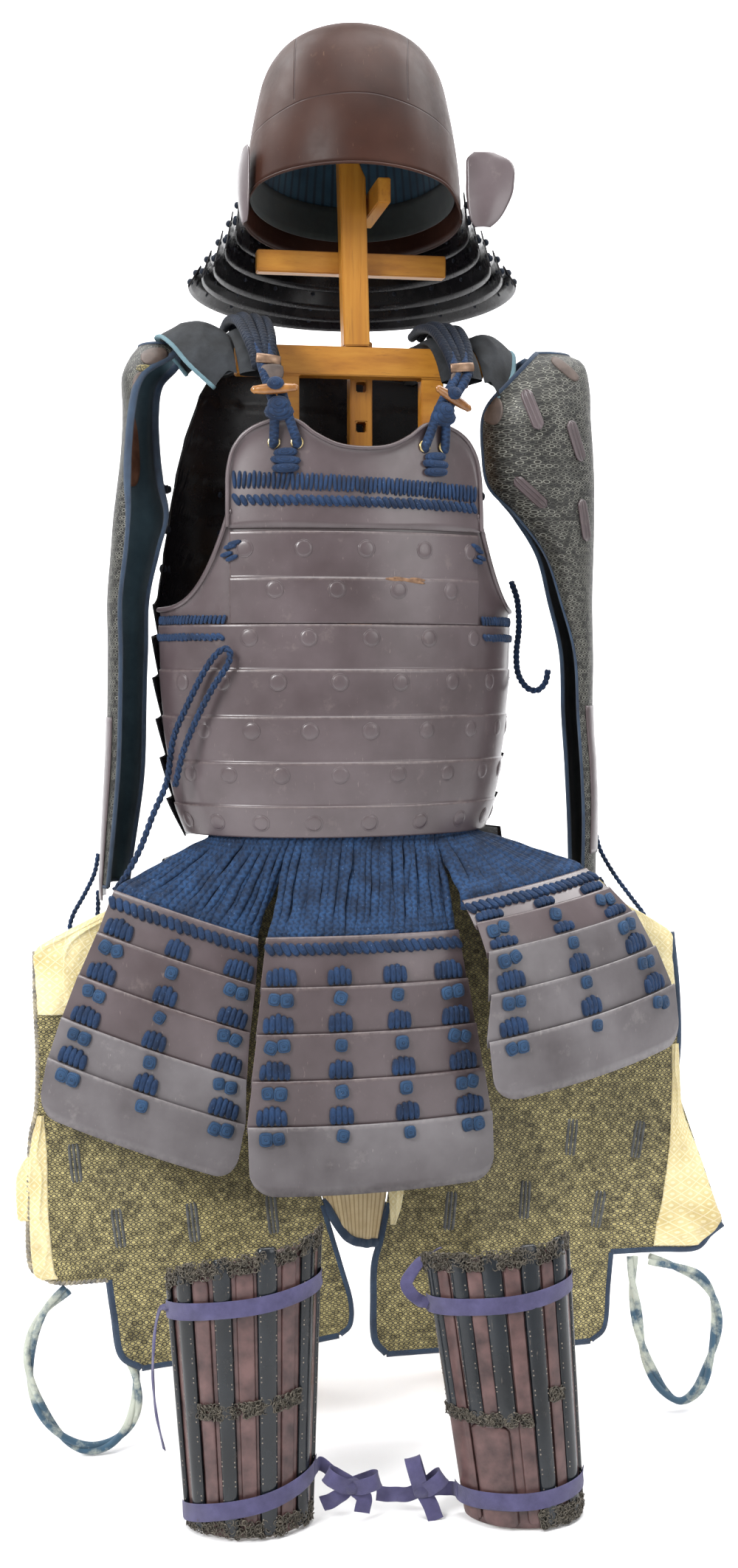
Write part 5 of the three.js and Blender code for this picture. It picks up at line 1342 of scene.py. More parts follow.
# %% Bundles and knots
BUNDLES = {"left": [(-0.76, 5), (0.0, 4), (0.78, 5)], "right": [(-0.78, 5), (-0.02, 4), (0.76, 5)],
           "centre": [(-0.82, 5), (-0.28, 4), (0.26, 4), (0.81, 5)]}
STRAND = 6.3
TALL = 20.5


def bundle(tasset, k, middle, count, rng):
    """Upright strands on the lame above edge k, the middle ones taller, all leaning in towards the top."""
    at, length = on_lame(tasset, k - 1)
    half = half_width(tasset, tasset["tops"][k][0])
    row = np.arange(count) - (count - 1) / 2
    tall = TALL * (1 - 0.26 * (row / (count / 2)) ** 2) * rng.uniform(0.95, 1.05, count)
    if length < 40:
        tall = tall * 0.6
    spots = places_on(at, middle + row * STRAND / half, -length + 1 + tall / 2, 1.2 * MM,
                      row * 2.5 + rng.normal(0, 2, count))
    spots[:, 1] *= (tall / TALL)[:, None]
    return copies(bead(3.9 * MM, 10.8 * MM, 4.6 * MM, power=2.6, sides=12, levels=8), spots)


for tasset in TASSETS:
    rng = np.random.default_rng(len(tasset["name"]))
    at, _ = on_lame(tasset, 0)
    count = int(2 * tasset["top_half"] / 8.3)
    twist = lace_row(at, np.linspace(-0.955, 0.955, count), -13.5, 8.6, 4.2, 38, seed=11, proud=3.6)
    strands = []
    knots = []
    for k in range(1, 5):
        at, _ = on_lame(tasset, k)
        half = half_width(tasset, tasset["tops"][k][0])
        for middle, count in BUNDLES[tasset["name"]]:
            strands.append(bundle(tasset, k, middle, count, rng))
            pair = abs(middle) > 0.5
            shift = np.array([-6.5, 6.5]) / half if pair else np.zeros(1)
            size = rng.uniform(0.88, 1.04, len(shift))
            down = -12.8 + rng.normal(0, 1.0, len(shift))
            aside = middle + shift * -np.sign(middle)
            spots = places_on(at, aside, down, 1.4 * MM, rng.normal(0, 12, len(shift)))
            spots[:, :3] *= size[:, None, None]
            knots.append(copies(bead(7.6 * MM, 7.8 * MM, 3.6 * MM, power=3.2), spots))
    dress(f"tasset_lacing_{tasset['name']}", joined([twist, *strands]), LACE, "lace")
    dress(f"tasset_knots_{tasset['name']}", joined(knots), KNOT, "lace")

# %% [markdown]
# ## The hanging lace
#
# Each tasset hangs from the cuirass on a curtain of braided flat cords. A strand starts inside the
# lower edge of the cuirass, comes out under it, and ends behind the tasset's top lame. All strands
# blend between the same two curves, each with its own sag and its own small waves, and they lie in
# two layers.

# %% Curtains of lace
def curtain(tasset, count, seed, behind):
    rng = np.random.default_rng(seed)
    t = (np.arange(count) + 0.5) / count + rng.normal(0, 0.12 / count, count)
    low, high = tasset["skirt"]
    angle = low + (high - low) * t
    inside = trunk_at(angle, 688, -6.5 - behind / 2) / MM
    edge = trunk_at(angle, 667, -6.5 - behind / 2) / MM
    foot = tasset_point(tasset, (t * 2 - 1) * 0.965, -3.0, -5.6) / MM
    tuck = tasset_point(tasset, (t * 2 - 1) * 0.965, 12.0, -5.6) / MM
    step = np.linalg.norm(foot[-1] - foot[0]) / (count - 1) * (1.35 if behind else 1)
    shapes = []
    for n in range(count):
        out = np.array([0, -1, 0]) * (1.8 * (n % 2) + rng.normal(0, 0.8) - behind)
        drop = foot[n] - edge[n]
        waves = [out + np.array([rng.normal(0, 1.5), 0, 0]) for _ in range(3)]
        route = [inside[n], edge[n], edge[n] + drop * 0.25 + waves[0], edge[n] + drop * 0.5 + waves[1],
                 edge[n] + drop * 0.75 + waves[2], foot[n], tuck[n]]
        path = smooth_path(route, 30)
        width = step * rng.uniform(0.41, 0.53) * (1 + 0.08 * np.sin(np.linspace(0, 30, 31) + n))
        shapes.append(tube(path * MM, width * MM, 8, reference=(0.1, -1, 0.35), flat=0.45))
    return joined(shapes)


for tasset, count in zip(TASSETS, (19, 25, 17)):
    name = tasset["name"]
    layers = [curtain(tasset, count, 31, 0.0), curtain(tasset, count + 3, 37, 3.2)]
    dress(f"lace_curtain_{name}", joined(layers), CURTAIN_LACE, "lace", f"lacing_{name}")

# %% [markdown]
# ## Rear tassets
#
# Two more tassets hang at the back. They are lacquered black, hang straighter and have simpler
# knots.

# %% Rear tassets
REAR_TOPS = np.array([0, 46, 92, 138, 184, 244])


def rear_tasset(angle, height):
    """A rear tasset as a function of the share across, minus the way down, and out, hung below the body at an
    angle round it."""
    a = math.radians(angle)
    wide, deep = [np.interp(680, trunk_profile[:, 0], trunk_profile[:, k]) + 12 for k in (1, 2)]
    start = np.array([wide * math.sin(a), -deep * math.cos(a), height])
    turn = turned("z", angle) @ turned("x", -6)

    def at(across, up, out=0.0):
        x = across * np.interp(-up, [0, REAR_TOPS[-2]], [78, 100])
        local = np.stack(np.broadcast_arrays(x, x * x / (2 * BOW) - out, up), -1)
        return on_trunk(local @ turn.T + start)

    return at


for name, angle, height in (("rear_left", 238, 640), ("rear_right", 122, 668)):
    rear_at = rear_tasset(angle, height)
    across = np.linspace(-1, 1, 30)[None, :]
    share, k = np.meshgrid([0, 0.04, 0.3, 0.7, 1], np.arange(5))
    down = REAR_TOPS[k] + share * (np.diff(REAR_TOPS)[k] - 0.6)
    out = 2 * k + 1.6 * (1 - share) + 1.6 - 0.7 * (share == 0)
    down, out = down.ravel()[::-1, None], out.ravel()[::-1, None]
    body = surface(f"tasset_{name}_lames", rear_at(across, -down, out), wall=1.6 * MM)
    dressed(body, BLACK, "black_lacquer", f"tasset_{name}")
    a, b = np.meshgrid([-0.8, -0.68, 0, 0.68, 0.8], -(REAR_TOPS[1:5] + 14))
    at = lambda a, b: rear_at(a, b, 2 * np.searchsorted(REAR_TOPS, -b) + 1.0)
    knots = places_on(at, a.ravel(), b.ravel(), 0.5 * MM)
    dress(f"tasset_{name}_knots", copies(bead(4.6 * MM, 5.2 * MM, 2.8 * MM), knots), DARK_LACE, "lace")

# %% [markdown]
# ## Sleeves
#
# A sleeve is an open tube of cloth with mail sewn outside it, so it is an arc of an ellipse whose
# centre, half sizes and opening change with the height. Mail covers the outer face, a dark lining
# the inner one, an indigo binding follows the edges, and small ridged plates and leather patches
# are set into the mail.

# %% Sleeve sections
SLEEVE_RIGHT = [
    (1209, 208, 4, 26, 26, -110, 130), (1200, 206, 4, 44, 40, -110, 130), (1172, 202, 4, 55, 52, -132, 140),
    (1140, 199, 2, 60, 58, -166, 150), (1100, 202, 4, 61, 57, -172, 150), (1062, 207, 8, 58, 55, -170, 152),
    (1030, 221, 12, 44, 53, -160, 158), (985, 236, 18, 29, 51, -148, 165), (930, 243, 24, 22, 50, -128, 175),
    (870, 250, 30, 16, 48, -108, 182), (800, 252, 34, 15, 46, -100, 186), (740, 257, 36, 15, 44, -100, 186),
    (680, 260, 38, 14, 41, -100, 184), (612, 260, 40, 13, 37, -100, 182),
]
SLEEVE_LEFT = [
    (1219, -228, -2, 24, 28, 60, 320), (1205, -231, -2, 31, 42, 60, 305), (1182, -248, -6, 21, 48, 50, 284),
    (1146, -251, -14, 16, 50, 40, 262), (1100, -251, -28, 17, 50, 22, 250), (1062, -249, -42, 21, 49, 8, 250),
    (1025, -246, -52, 27, 46, 0, 252), (985, -252, -56, 24, 44, -4, 258), (930, -262, -50, 20, 43, -6, 262),
    (870, -264, -40, 19, 43, -6, 264), (800, -267, -30, 19, 42, -6, 264), (740, -271, -20, 19, 41, -6, 264),
    (680, -277, -12, 17, 39, -4, 262), (606, -286, -4, 14, 36, -2, 260),
]


def sleeve(table, seed):
    """Two functions. The first gives points from a height, a share of the opening and a distance outwards: x
    and y are the centre plus the half sizes times the cosine and sine of the angle. The second turns it round
    for the half seen from the front: points from x across, a height and a distance."""
    path = smooth_path(table, 200)[::-1]

    def section(z):
        return [np.interp(z, path[:, 0], path[:, k]) for k in range(1, 7)]

    def at(z, share, out=0.0):
        x, y, half_width, half_depth, start, end = section(z)
        a = np.radians(start + (end - start) * share)
        crease = 1.1 * noise(share * 11, z / 34, seed)
        points = np.broadcast_arrays(
            x + (half_width + out + crease) * np.cos(a), y + (half_depth + out + crease) * np.sin(a),
            z + 0 * a)
        return on_floor(np.stack(points, -1))

    def front(across, z, out=3.0):
        x, _, half_width, _, start, end = section(z)
        a = -np.degrees(np.arccos(np.clip((across - x) / (half_width + 3), -0.98, 0.98)))
        a = a + 360 * (a < start)
        return at(z, np.clip((a - start) / (end - start), 0, 1), out)

    return at, front


def ridged_plate(half_length, half_width, ridges=3, thick=1.4):
    """A small plate with raised ribs along it: its height is a wave across, rounded off at the two ends."""
    v = np.linspace(-1, 1, 13)[:, None]
    u = np.concatenate([np.linspace(-1, 1, 25), np.linspace(1, -1, 4)])[None, :]
    taper = np.sqrt(1 - 0.92 * np.abs(v) ** 10)
    wave = thick + 1.5 * np.abs(np.sin(math.pi * ridges * (u + 1) / 2))
    top = np.arange(29)[None, :] < 25
    height = np.where(top, wave, -0.6) * taper
    points = np.stack(np.broadcast_arrays(u * half_width * taper, v * half_length, height), -1) * MM
    points = np.concatenate([np.repeat(points[:1].mean(1, keepdims=True), 29, 1), points,
                             np.repeat(points[-1:].mean(1, keepdims=True), 29, 1)])
    return points.reshape(-1, 3), grid_faces(len(points), 29, True), grid_uv(points, True)


PLATE = ridged_plate(24, 6.9)


def patch(at, x, z, half_x, half_z, lean=0, power=3.0, out=3.6, thick=1.6):
    """A flat patch laid on at(x, z, out). Its outline is an ellipse with a power above two, filled by rings
    that run out over the front and back underneath."""
    share = np.concatenate([np.linspace(0, 1, 9), np.linspace(1, 0, 4)])[:, None]
    lift = np.concatenate([np.full(8, out), [out - 0.4], [out - thick], np.full(3, out - thick)])[:, None]
    a = np.linspace(0, 2 * math.pi, 48, endpoint=False)[None, :]
    u = np.sign(np.cos(a)) * np.abs(np.cos(a)) ** (2 / power) * share * half_x
    v = np.sign(np.sin(a)) * np.abs(np.sin(a)) ** (2 / power) * share * half_z
    c, s = math.cos(math.radians(lean)), math.sin(math.radians(lean))
    points = at(x + c * u - s * v, z + s * u + c * v, lift)
    return points.reshape(-1, 3), grid_faces(len(share), 48, True), grid_uv(points, True)


# %% [markdown]
# Each sleeve gets its mail, lining and binding from the same function, so that they follow each
# other exactly.

# %% Mail, lining and binding
def dress_sleeve(name, table, lining_paint, seed, wide):
    at, front = sleeve(table, seed)
    low, high = table[-1][0], table[0][0]
    z = np.linspace(low, high, 116)[:, None]
    share = np.linspace(0, 1, 52)[None, :]
    mail = surface(f"sleeve_mail_{name}", at(z, share, 2.7), wall=1.5 * MM)
    dressed(mail, STEEL_MAIL, "mail", f"sleeve_{name}")
    lining = surface(f"sleeve_lining_{name}", at(z, share[:, ::-1], 0.1), wall=1.0 * MM)
    dressed(lining, lining_paint, "lining", f"sleeve_{name}")
    height = np.linspace(low, high, 160)
    broad = 2.6 + (wide - 2.6) * np.clip((height - 1010) / 60, 0, 1)
    edges = [tube(at(height, np.full(160, side), 1.6), broad * MM, 10, reference=(0, -1, 0), flat=0.6)
             for side in (0.0, 1.0)]
    around = np.linspace(0, 1, 60)
    edges += [tube(at(np.full(60, level), around, 1.4), 2.3 * MM, 9, reference=(0, 0, 1))
              for level in (low, high)]
    dress(f"sleeve_binding_{name}", joined(edges), BLUE_BINDING, "dark_cloth", f"sleeve_{name}")
    return at, front


right_at, right_front = dress_sleeve("right", SLEEVE_RIGHT, BLACK_LINING, 41, 3.6)
left_at, left_front = dress_sleeve("left", SLEEVE_LEFT, TEAL_LINING, 43, 4.4)

# %% [markdown]
# The plates in the mail lean with the sleeve. Leather patches strengthen the shoulder, and a
# leather plate lies over each forearm.

# %% Plates and patches
x, z, lean = np.array([(190, 1142, 22), (240, 1109, 26), (190, 1052, 44), (251, 1022, 15)], float).T
plates = copies(PLATE, places_on(right_front, x, z, 0.6 * MM, lean, swap=1))
dress("sleeve_plates", plates, BROWN, "lacquer")

forearms = [
    surface("forearm_right",
            right_at(np.linspace(640, 812, 30)[:, None], np.linspace(0.10, 0.42, 20)[None, :], 4.4),
            wall=1.4 * MM),
    surface("forearm_left",
            left_at(np.linspace(590, 800, 30)[:, None], np.linspace(0.56, 0.90, 20)[None, :], 4.4),
            wall=1.4 * MM),
]
for piece in forearms:
    dressed(piece, BROWN, "lacquer")

shapes = [
    patch(right_front, 147, 1146, 11, 18, 8, 2.0), patch(right_front, 228, 1190, 19, 6, -40, 3.0),
    patch(left_front, -240, 1167, 14, 17, -8, 3.0), patch(left_front, -231, 1203, 15, 10, 10, 2.4),
]
dress("shoulder_leather", joined(shapes), LEATHER, "dark_cloth")
gold_row = patch(left_front, -233, 1187, 17, 4.5, -6, 3.0)
dress("gold_mail_row", gold_row, GOLD_MAIL, "gold_mail")


def left_inside(x, z, out):
    """The far inner wall of the left sleeve, from x across and a height."""
    return left_at(z, 0.52 - (x + 247) / 70, -out)


inside = patch(left_inside, -247, 1106, 10, 44, 0, 2.6, out=1.4, thick=1.2)
dress("inner_leather", inside, INNER_LEATHER, "dark_cloth")

# %% [markdown]
# ## Thigh guard
#
# The thigh guard is an apron of two wide legs: mail over gold cloth with plates set in, blocks of
# cream brocade at the sides, and a striped cloth gusset between them. It hangs in one slightly
# sloping plane, stirred by soft waves, and each panel is given by where its outer edge, notch and
# inner edge lie at each height.

# %% Thigh guard panels
THIGH_LEFT = [
    (620, 262, 190, 61, 0), (578, 298, 225, 61, 0), (562, 350, 250, 61, 0), (546, 374, 270, 61, 0),
    (490, 373, 276, 61, 0), (430, 371, 280, 62, 0), (376, 373, 284, 62, 0), (340, 381, 288, 63, 0),
    (270, 383, 292, 63, 0), (212, 383, 296, 49, 0), (186, 352, 298, 42, 0), (150, 352, 292, 32, 0),
    (106, 352, 284, 34, 16), (90, 352, 262, 44, 25),
]
THIGH_RIGHT = [
    (620, 262, 190, 10, 0), (580, 300, 225, 10, 0), (562, 336, 245, 11, 0), (546, 356, 255, 11, 0),
    (490, 361, 262, 12, 0), (430, 360, 264, 12, 0), (376, 352, 266, 13, 0), (330, 367, 268, 13, 0),
    (270, 387, 270, 14, 0), (216, 404, 271, 4, 0), (187, 372, 271, -4, 0), (150, 372, 266, -6, 0),
    (106, 372, 260, -6, 0), (90, 372, 244, 6, 0),
]
NOTCH_ROW = 10
OUTER_CELLS = 22


def thigh_point(x, z, out=0.0):
    """The apron's plane leans forward as it goes down, with a wave across it that grows from nothing at the
    top. out is towards the viewer."""
    wave = 4 * np.sin(x / 46 + z / 90) * np.minimum((620 - z) / 120, 1)
    fold = 1.6 * noise(x / 17, z / 60, 51) * np.clip((620 - z) / 80, 0, 1)
    y = -50 - 0.13 * (620 - z) + wave + fold - out
    return on_stand(np.stack(np.broadcast_arrays(x + 0 * z, y, z + 0 * x), -1))


def panel_grid(table, side, rows=104, inner_cells=50):
    """Positions across and heights of a panel's grid, and which of its cells are cloth."""
    step = np.linspace(0, len(table) - 1, rows)
    columns = np.array(table).T
    z, outer, notch, inner, lift = [np.interp(step, np.arange(len(table)), c)[:, None] for c in columns]
    t = np.linspace(0, 1, OUTER_CELLS + 1)[None, :]
    s = np.linspace(0, 1, inner_cells + 1)[None, 1:]
    x = np.concatenate([outer + (notch - outer) * t, notch + (inner - notch) * s], 1)
    height = z + lift * np.clip((notch - x) / (notch - inner), 0, 1)
    middle = (step[:-1] + step[1:])[:, None] / 2
    keep = (middle < NOTCH_ROW) | (np.arange(x.shape[1] - 1)[None, :] >= OUTER_CELLS)
    return side * x, height, keep


def cut_sheet(name, points, keep, wall):
    """A surface from which the cells outside the cut are left out."""
    rows, columns = points.shape[:2]
    faces, uv = grid_faces(rows, columns)[keep.ravel()], grid_uv(points)[keep.ravel()]
    used, numbers = np.unique(faces, return_inverse=True)
    return mesh_object(name, points.reshape(-1, 3)[used], numbers.reshape(-1, 4), uv, wall)


THIGHS = (("left", THIGH_LEFT, -1, (0.33, 0.54)), ("right", THIGH_RIGHT, 1, (0.39, 0.54)))
for name, table, side, flat in THIGHS:
    x, z, keep = panel_grid(table, side)
    mail_grid = thigh_point(x, z)[::-1]
    apron = cut_sheet(f"thigh_mail_{name}", mail_grid, keep[::-1], side * 2.2 * MM)
    dressed(apron, GOLD_MAIL, "gold_mail", f"thigh_guard_{name}")

THIGH_PLATES = [
    (-333, 315, 6), (-287, 243, 8), (-206, 247, 6), (-118, 250, 4), (229, 318, -7), (306, 314, -10),
    (171, 251, -7), (83, 245, -6), (258, 236, -11),
]
x, z, lean = np.array(THIGH_PLATES, float).T
plates = places_on(thigh_point, x, z, 0.3 * MM, lean)
dress("thigh_plates", copies(PLATE, plates), PLATE_GREY, "black_lacquer")

# %% [markdown]
# Cream brocade covers the sides of the apron. Each piece lies on the mail between two edges that
# are given at a few heights, and it is puckered by its stitching.

# %% Brocade
BROCADES = [
    {"name": "block_left", "flat": (0.066, 0.112), "lift": 4.0,
     "rows": [(477, -372, -306), (520, -374, -308), (546, -374, -309), (562, -350, -305), (590, -292, -270)]},
    {"name": "fold_left", "flat": (0.034, 0.104), "lift": 5.6,
     "rows": [(486, -345, -309), (530, -344, -308), (560, -338, -300), (590, -287, -262)]},
    {"name": "strip_left", "flat": (0.021, 0.174), "lift": 4.0,
     "rows": [(193, -371, -352), (205, -380, -357), (260, -383, -362), (330, -382, -363), (368, -373, -366)]},
    {"name": "flap_left", "flat": (0.020, 0.072), "lift": 2.0,
     "rows": [(256, -393, -376), (262, -396, -376), (300, -397, -376), (318, -390, -376), (328, -380, -376)]},
    {"name": "block_right", "flat": (0.046, 0.118), "lift": 4.0,
     "rows": [(466, 312, 358), (520, 312, 357), (546, 312, 356), (562, 312, 336), (584, 285, 298)]},
    {"name": "strip_inner", "flat": (0.016, 0.150), "lift": 3.6,
     "rows": [(232, 15, 21), (262, 14, 30), (310, 13, 33), (376, 13, 33)]},
    {"name": "strip_right", "flat": (0.052, 0.230), "lift": 4.0,
     "rows": [(192, 322, 374), (216, 326, 402), (240, 332, 396), (290, 340, 381), (350, 346, 360),
              (421, 350, 359)]},
]


def panel_between(rows, lift, steps=70):
    """Between two edges: x runs from the one to the other, and the face swells between its seams."""
    path = smooth_path(rows, steps)
    z, first, last = path.T[:, :, None]
    t = np.linspace(0, 1, 26)[None, :]
    pucker = 0.4 * np.sin(z / 3.2) * np.abs(2 * t - 1) ** 4 + 2.2 * creases(t * 5, z / 12, 71) - 0.6
    swell = 1.6 * np.sqrt(np.clip(1 - np.abs(2 * t - 1) ** 6, 0, 1)) - 1.4
    return thigh_point(first + (last - first) * t, z + 0 * t, lift + swell + pucker)


for item in BROCADES:
    panel = surface(f"brocade_{item['name']}", panel_between(item["rows"], item["lift"]), wall=1.0 * MM)
    dressed(panel, BROCADE, "brocade")

# %% [markdown]
# The edges are bound with indigo cloth, except for the left side, whose lower edge has a twisted
# cream and blue piping.

# %% Bindings
BINDINGS = [
    [(-298, 188), (-293, 150), (-286, 108), (-264, 92)],
    [(-264, 92), (-180, 100), (-110, 107), (-46, 115)],
    [(-45, 116), (-34, 126), (-33, 150), (-43, 188), (-50, 213), (-62, 256)],
    [(8, 90), (-5, 108), (-5, 150), (-3, 188), (5, 216), (14, 256)],
    [(8, 90), (90, 91), (170, 91), (243, 91)],
    [(244, 92), (260, 106), (266, 150), (271, 187)],
    [(271, 188), (330, 188), (371, 189), (388, 204), (404, 215)],
    [(356, 548), (360, 490), (359, 430), (354, 390)],
]
PIPINGS = [
    [(-374, 545), (-374, 490), (-372, 430), (-374, 376), (-381, 340), (-384, 270), (-383, 212), (-369, 196),
     (-350, 188), (-299, 188)],
]
edges = []
for points in BINDINGS:
    x, z = smooth_path(points, 60).T
    edges.append(tube(thigh_point(x, z, 0.6), 4.2 * MM, 10, reference=(0, -1, 0.1), flat=0.5))
dress("thigh_bindings", joined(edges), BLUE_BINDING, "dark_cloth")
x, z = smooth_path(PIPINGS[0], 420).T
dress("thigh_piping", twisted(thigh_point(x, z, 0.4), 3.0 * MM, 2, 0.011), PIPING, "brocade")

# %% Gusset
levels = np.linspace(620, 262, 48)[:, None]
t = np.linspace(0, 1, 48)[None, :]
height = levels - 50 * (1 - (1 - t) ** 5) * np.clip((340 - levels) / 78, 0, 1)
inner_left = -np.interp(height, *np.array(THIGH_LEFT)[::-1, [0, 3]].T) + 1
inner_right = np.interp(height, *np.array(THIGH_RIGHT)[::-1, [0, 3]].T) - 1
across = inner_left + (inner_right - inner_left) * t
folds = 4 * np.abs(np.sin(2 * math.pi * t)) + 1.2 * np.sin(9 * math.pi * t) - 1
gusset = surface("gusset_cloth", thigh_point(across, height, folds)[::-1], wall=1.8 * MM)
dressed(gusset, GUSSET_CLOTH, "brocade", "thigh_gusset")
hem = tube(thigh_point(across, height, folds)[-1], 5.0 * MM, 10, reference=(0, -1, 0.1), flat=0.45)
dress("gusset_hem", hem, BLUE_BINDING, "dark_cloth")

# %% [markdown]
# ## Shin guards
#
# Each shin guard is half a tube that leans and widens upwards. Its ground is strips of red-brown
# leather, and on them lie black splints: long half-round irons, domed across, with a string of
# small holes beside each edge. Scraps of mail join them at the top, at mid height and at the foot.
# On the right guard three splints end half way down, and leather strips take their place.

# %% Shin guard form
SHINS = [
    {"name": "left", "foot": (-112, -322, 60), "top": (-120, -298, 77), "yaw": 5, "low": 238, "high": 292,
     "splints": [(-53, 9.5, 4, 1), (-17, 7.5, 4, 6), (18, 8.5, 4, 9), (59, 10, 4, 6), (-82, 6, 10, 0),
                 (84, 5, 6, 0)],
     "leather": [-35, 0.5, 37, 72]},
    {"name": "right", "foot": (164, -302, 59), "top": (136, -262, 74), "yaw": 2, "low": 250, "high": 276,
     "splints": [(-67, 9.5, 108, 1), (-35, 8.0, 106, 3), (-7, 8.5, 103, 2), (25, 8.5, 4, 9), (59, 10.5, 4, 8),
                 (82, 5, 8, 0)],
     "leather": [-52, -21, 9, 42, 74]},
]


def shin_point(shin, angle, z, out=0.0):
    """x is the half width times the sine and y minus the depth times the cosine of the angle, turned a little
    and carried from the foot's middle to the top's."""
    t = z / shin["high"]
    x, y, half = [a + (b - a) * t for a, b in zip(shin["foot"], shin["top"])]
    a, turn = np.radians(angle), math.radians(shin["yaw"])
    across, deep = (half + out) * np.sin(a), -(48 + out) * np.cos(a)
    points = np.broadcast_arrays(x + across * math.cos(turn) - deep * math.sin(turn),
                                 y + across * math.sin(turn) + deep * math.cos(turn), z + 0 * a)
    return on_floor(np.stack(points, -1))


def shin_top(shin, angle):
    return shin["low"] + (shin["high"] - shin["low"]) * np.sqrt(np.clip((angle + 86) / 172, 0, 1))


def shin_strip(shin, middle, half_angle, low, high, crown, square=2.0, foot=0.2):
    """A closed strip up the guard. Across, its height is a crown times the square root of one minus a
    power of the share from the middle, and both ends are rounded off in the same way."""
    u = np.concatenate([np.linspace(-1, 1, 15), np.linspace(1, -1, 6)[1:-1]])[None, :]
    front = (np.arange(u.shape[1]) < 15)[None, :]
    v = np.concatenate([[0, 0.006, 0.02], np.linspace(0.05, 0.95, 18), [0.98, 0.994, 1]])[:, None]
    end = np.clip(np.minimum(v, 1 - v) * (high - low) / 6, 0, 1)
    narrow = 0.55 + 0.45 * np.sqrt(1 - (1 - end) ** 2)
    out = np.where(front, foot + crown * np.sqrt(np.clip(1 - np.abs(u) ** square, 0, 1)) * narrow, foot - 0.5)
    points = shin_point(shin, middle + half_angle * u * narrow, low + (high - low) * v, out)
    points = np.concatenate([points[:1].mean(1, keepdims=True).repeat(u.size, 1), points,
                             points[-1:].mean(1, keepdims=True).repeat(u.size, 1)])
    return points.reshape(-1, 3), grid_faces(len(points), u.size, True), grid_uv(points, True)


# %% Leather ground, strips and splints
for shin in SHINS:
    name = shin["name"]
    angle = np.linspace(-86, 86, 84)[None, :]
    share = np.linspace(0, 1, 40)[:, None]
    uneven = 0.5 * noise(angle / 8, share * 6, 61)
    top = shin_top(shin, angle) - 3 + 1.5 * noise(angle / 5, 0 * angle, 8)
    grid = shin_point(shin, angle, 2 + share * (top - 2), uneven - 0.6)
    body = surface(f"shin_ground_{name}", grid, wall=2.6 * MM)
    dressed(body, RED_LEATHER, "splint", f"shin_guard_{name}")
    strips = []
    for middle in shin["leather"]:
        strips.append(shin_strip(shin, middle, 7.0, 6, shin_top(shin, middle) - 14, 1.5, 8.0))
    if name == "right":
        strips.append(shin_strip(shin, -62, 15, 3, 104, 2.0, 10.0))
        strips.append(shin_strip(shin, -25, 19, 3, 100, 2.4, 10.0))
    dress(f"shin_strips_{name}", joined(strips), RED_LEATHER, "splint")
    splints = []
    holes = []
    for middle, half_angle, low, lift in shin["splints"]:
        high = shin_top(shin, middle) + lift - 4
        splints.append(shin_strip(shin, middle, half_angle, max(low, 1.0), high, 4.4))
        at = lambda a, z, shin=shin: shin_point(shin, a, z, 3.2)
        count = int((high - low) / 19)
        for edge in (-0.72, 0.72):
            for step in (0, 4.5):
                levels = np.linspace(low + 12, high - 12, count) + step
                holes.append(places_on(at, middle + edge * half_angle, levels, 0.0))
    dress(f"shin_splints_{name}", joined(splints), SPLINT_BLACK, "splint")
    dots = copies(bead(0.9 * MM, 0.9 * MM, 0.5 * MM, sides=6, levels=5), np.concatenate(holes))
    dress(f"shin_stitches_{name}", dots, PALE_STITCH, "splint")

# %% [markdown]
# Scraps of mail are many small rings, lying flat or tipped, scattered evenly along short bands.

# %% Mail scraps
ring_shape = tube(circle(2.7 * MM, 8), 0.6 * MM, 4, reference=(0, 0, 1))
rng = np.random.default_rng(5)


def scatter_rings(shin, low_angle, high_angle, height, spread, count):
    angle = rng.uniform(low_angle, high_angle, count)
    z = height(angle) + rng.uniform(-spread, spread, count)
    at = lambda a, z: shin_point(shin, a, z, 1.6)
    lift = rng.uniform(0.4, 2.6, count) * MM
    spots = places_on(at, angle, np.maximum(z, 3.5), lift, rng.uniform(0, 180, count))
    tip = np.radians(rng.uniform(-50, 50, count))[:, None]
    y, normal = spots[:, 1].copy(), spots[:, 2].copy()
    spots[:, 1] = np.cos(tip) * y + np.sin(tip) * normal
    spots[:, 2] = np.cos(tip) * normal - np.sin(tip) * y
    return copies(ring_shape, spots)


for shin in SHINS:
    edge = lambda a, shin=shin: shin_top(shin, a) - 6
    shapes = [scatter_rings(shin, -84, 84, edge, 8, 420)]
    if shin["name"] == "left":
        shapes.append(scatter_rings(shin, -44, 48, lambda a: 128 + a * 0.13, 6, 300))
    else:
        shapes.append(scatter_rings(shin, -78, 14, lambda a: 107 + 0 * a, 5, 260))
        shapes.append(scatter_rings(shin, 34, 50, lambda a: 128 + 0 * a, 5, 50))
    start = -80 if shin["name"] == "left" else 14
    shapes.append(scatter_rings(shin, start, 82, lambda a: 12 + 0 * a, 8, 300))
    dress(f"shin_mail_{shin['name']}", joined(shapes), RING_IRON, "mail")

# %% [markdown]
# ## Ties of the shin guards
#
# Purple ribbons hold the guards to the leg: one near the top, one near the foot. A ribbon is a flat
# closed band along a path, whose width keeps to a given direction. In a bow the loops run away from
# the knot and back at a little depth, so their width stays square to the picture, as a real
# ribbon's does.

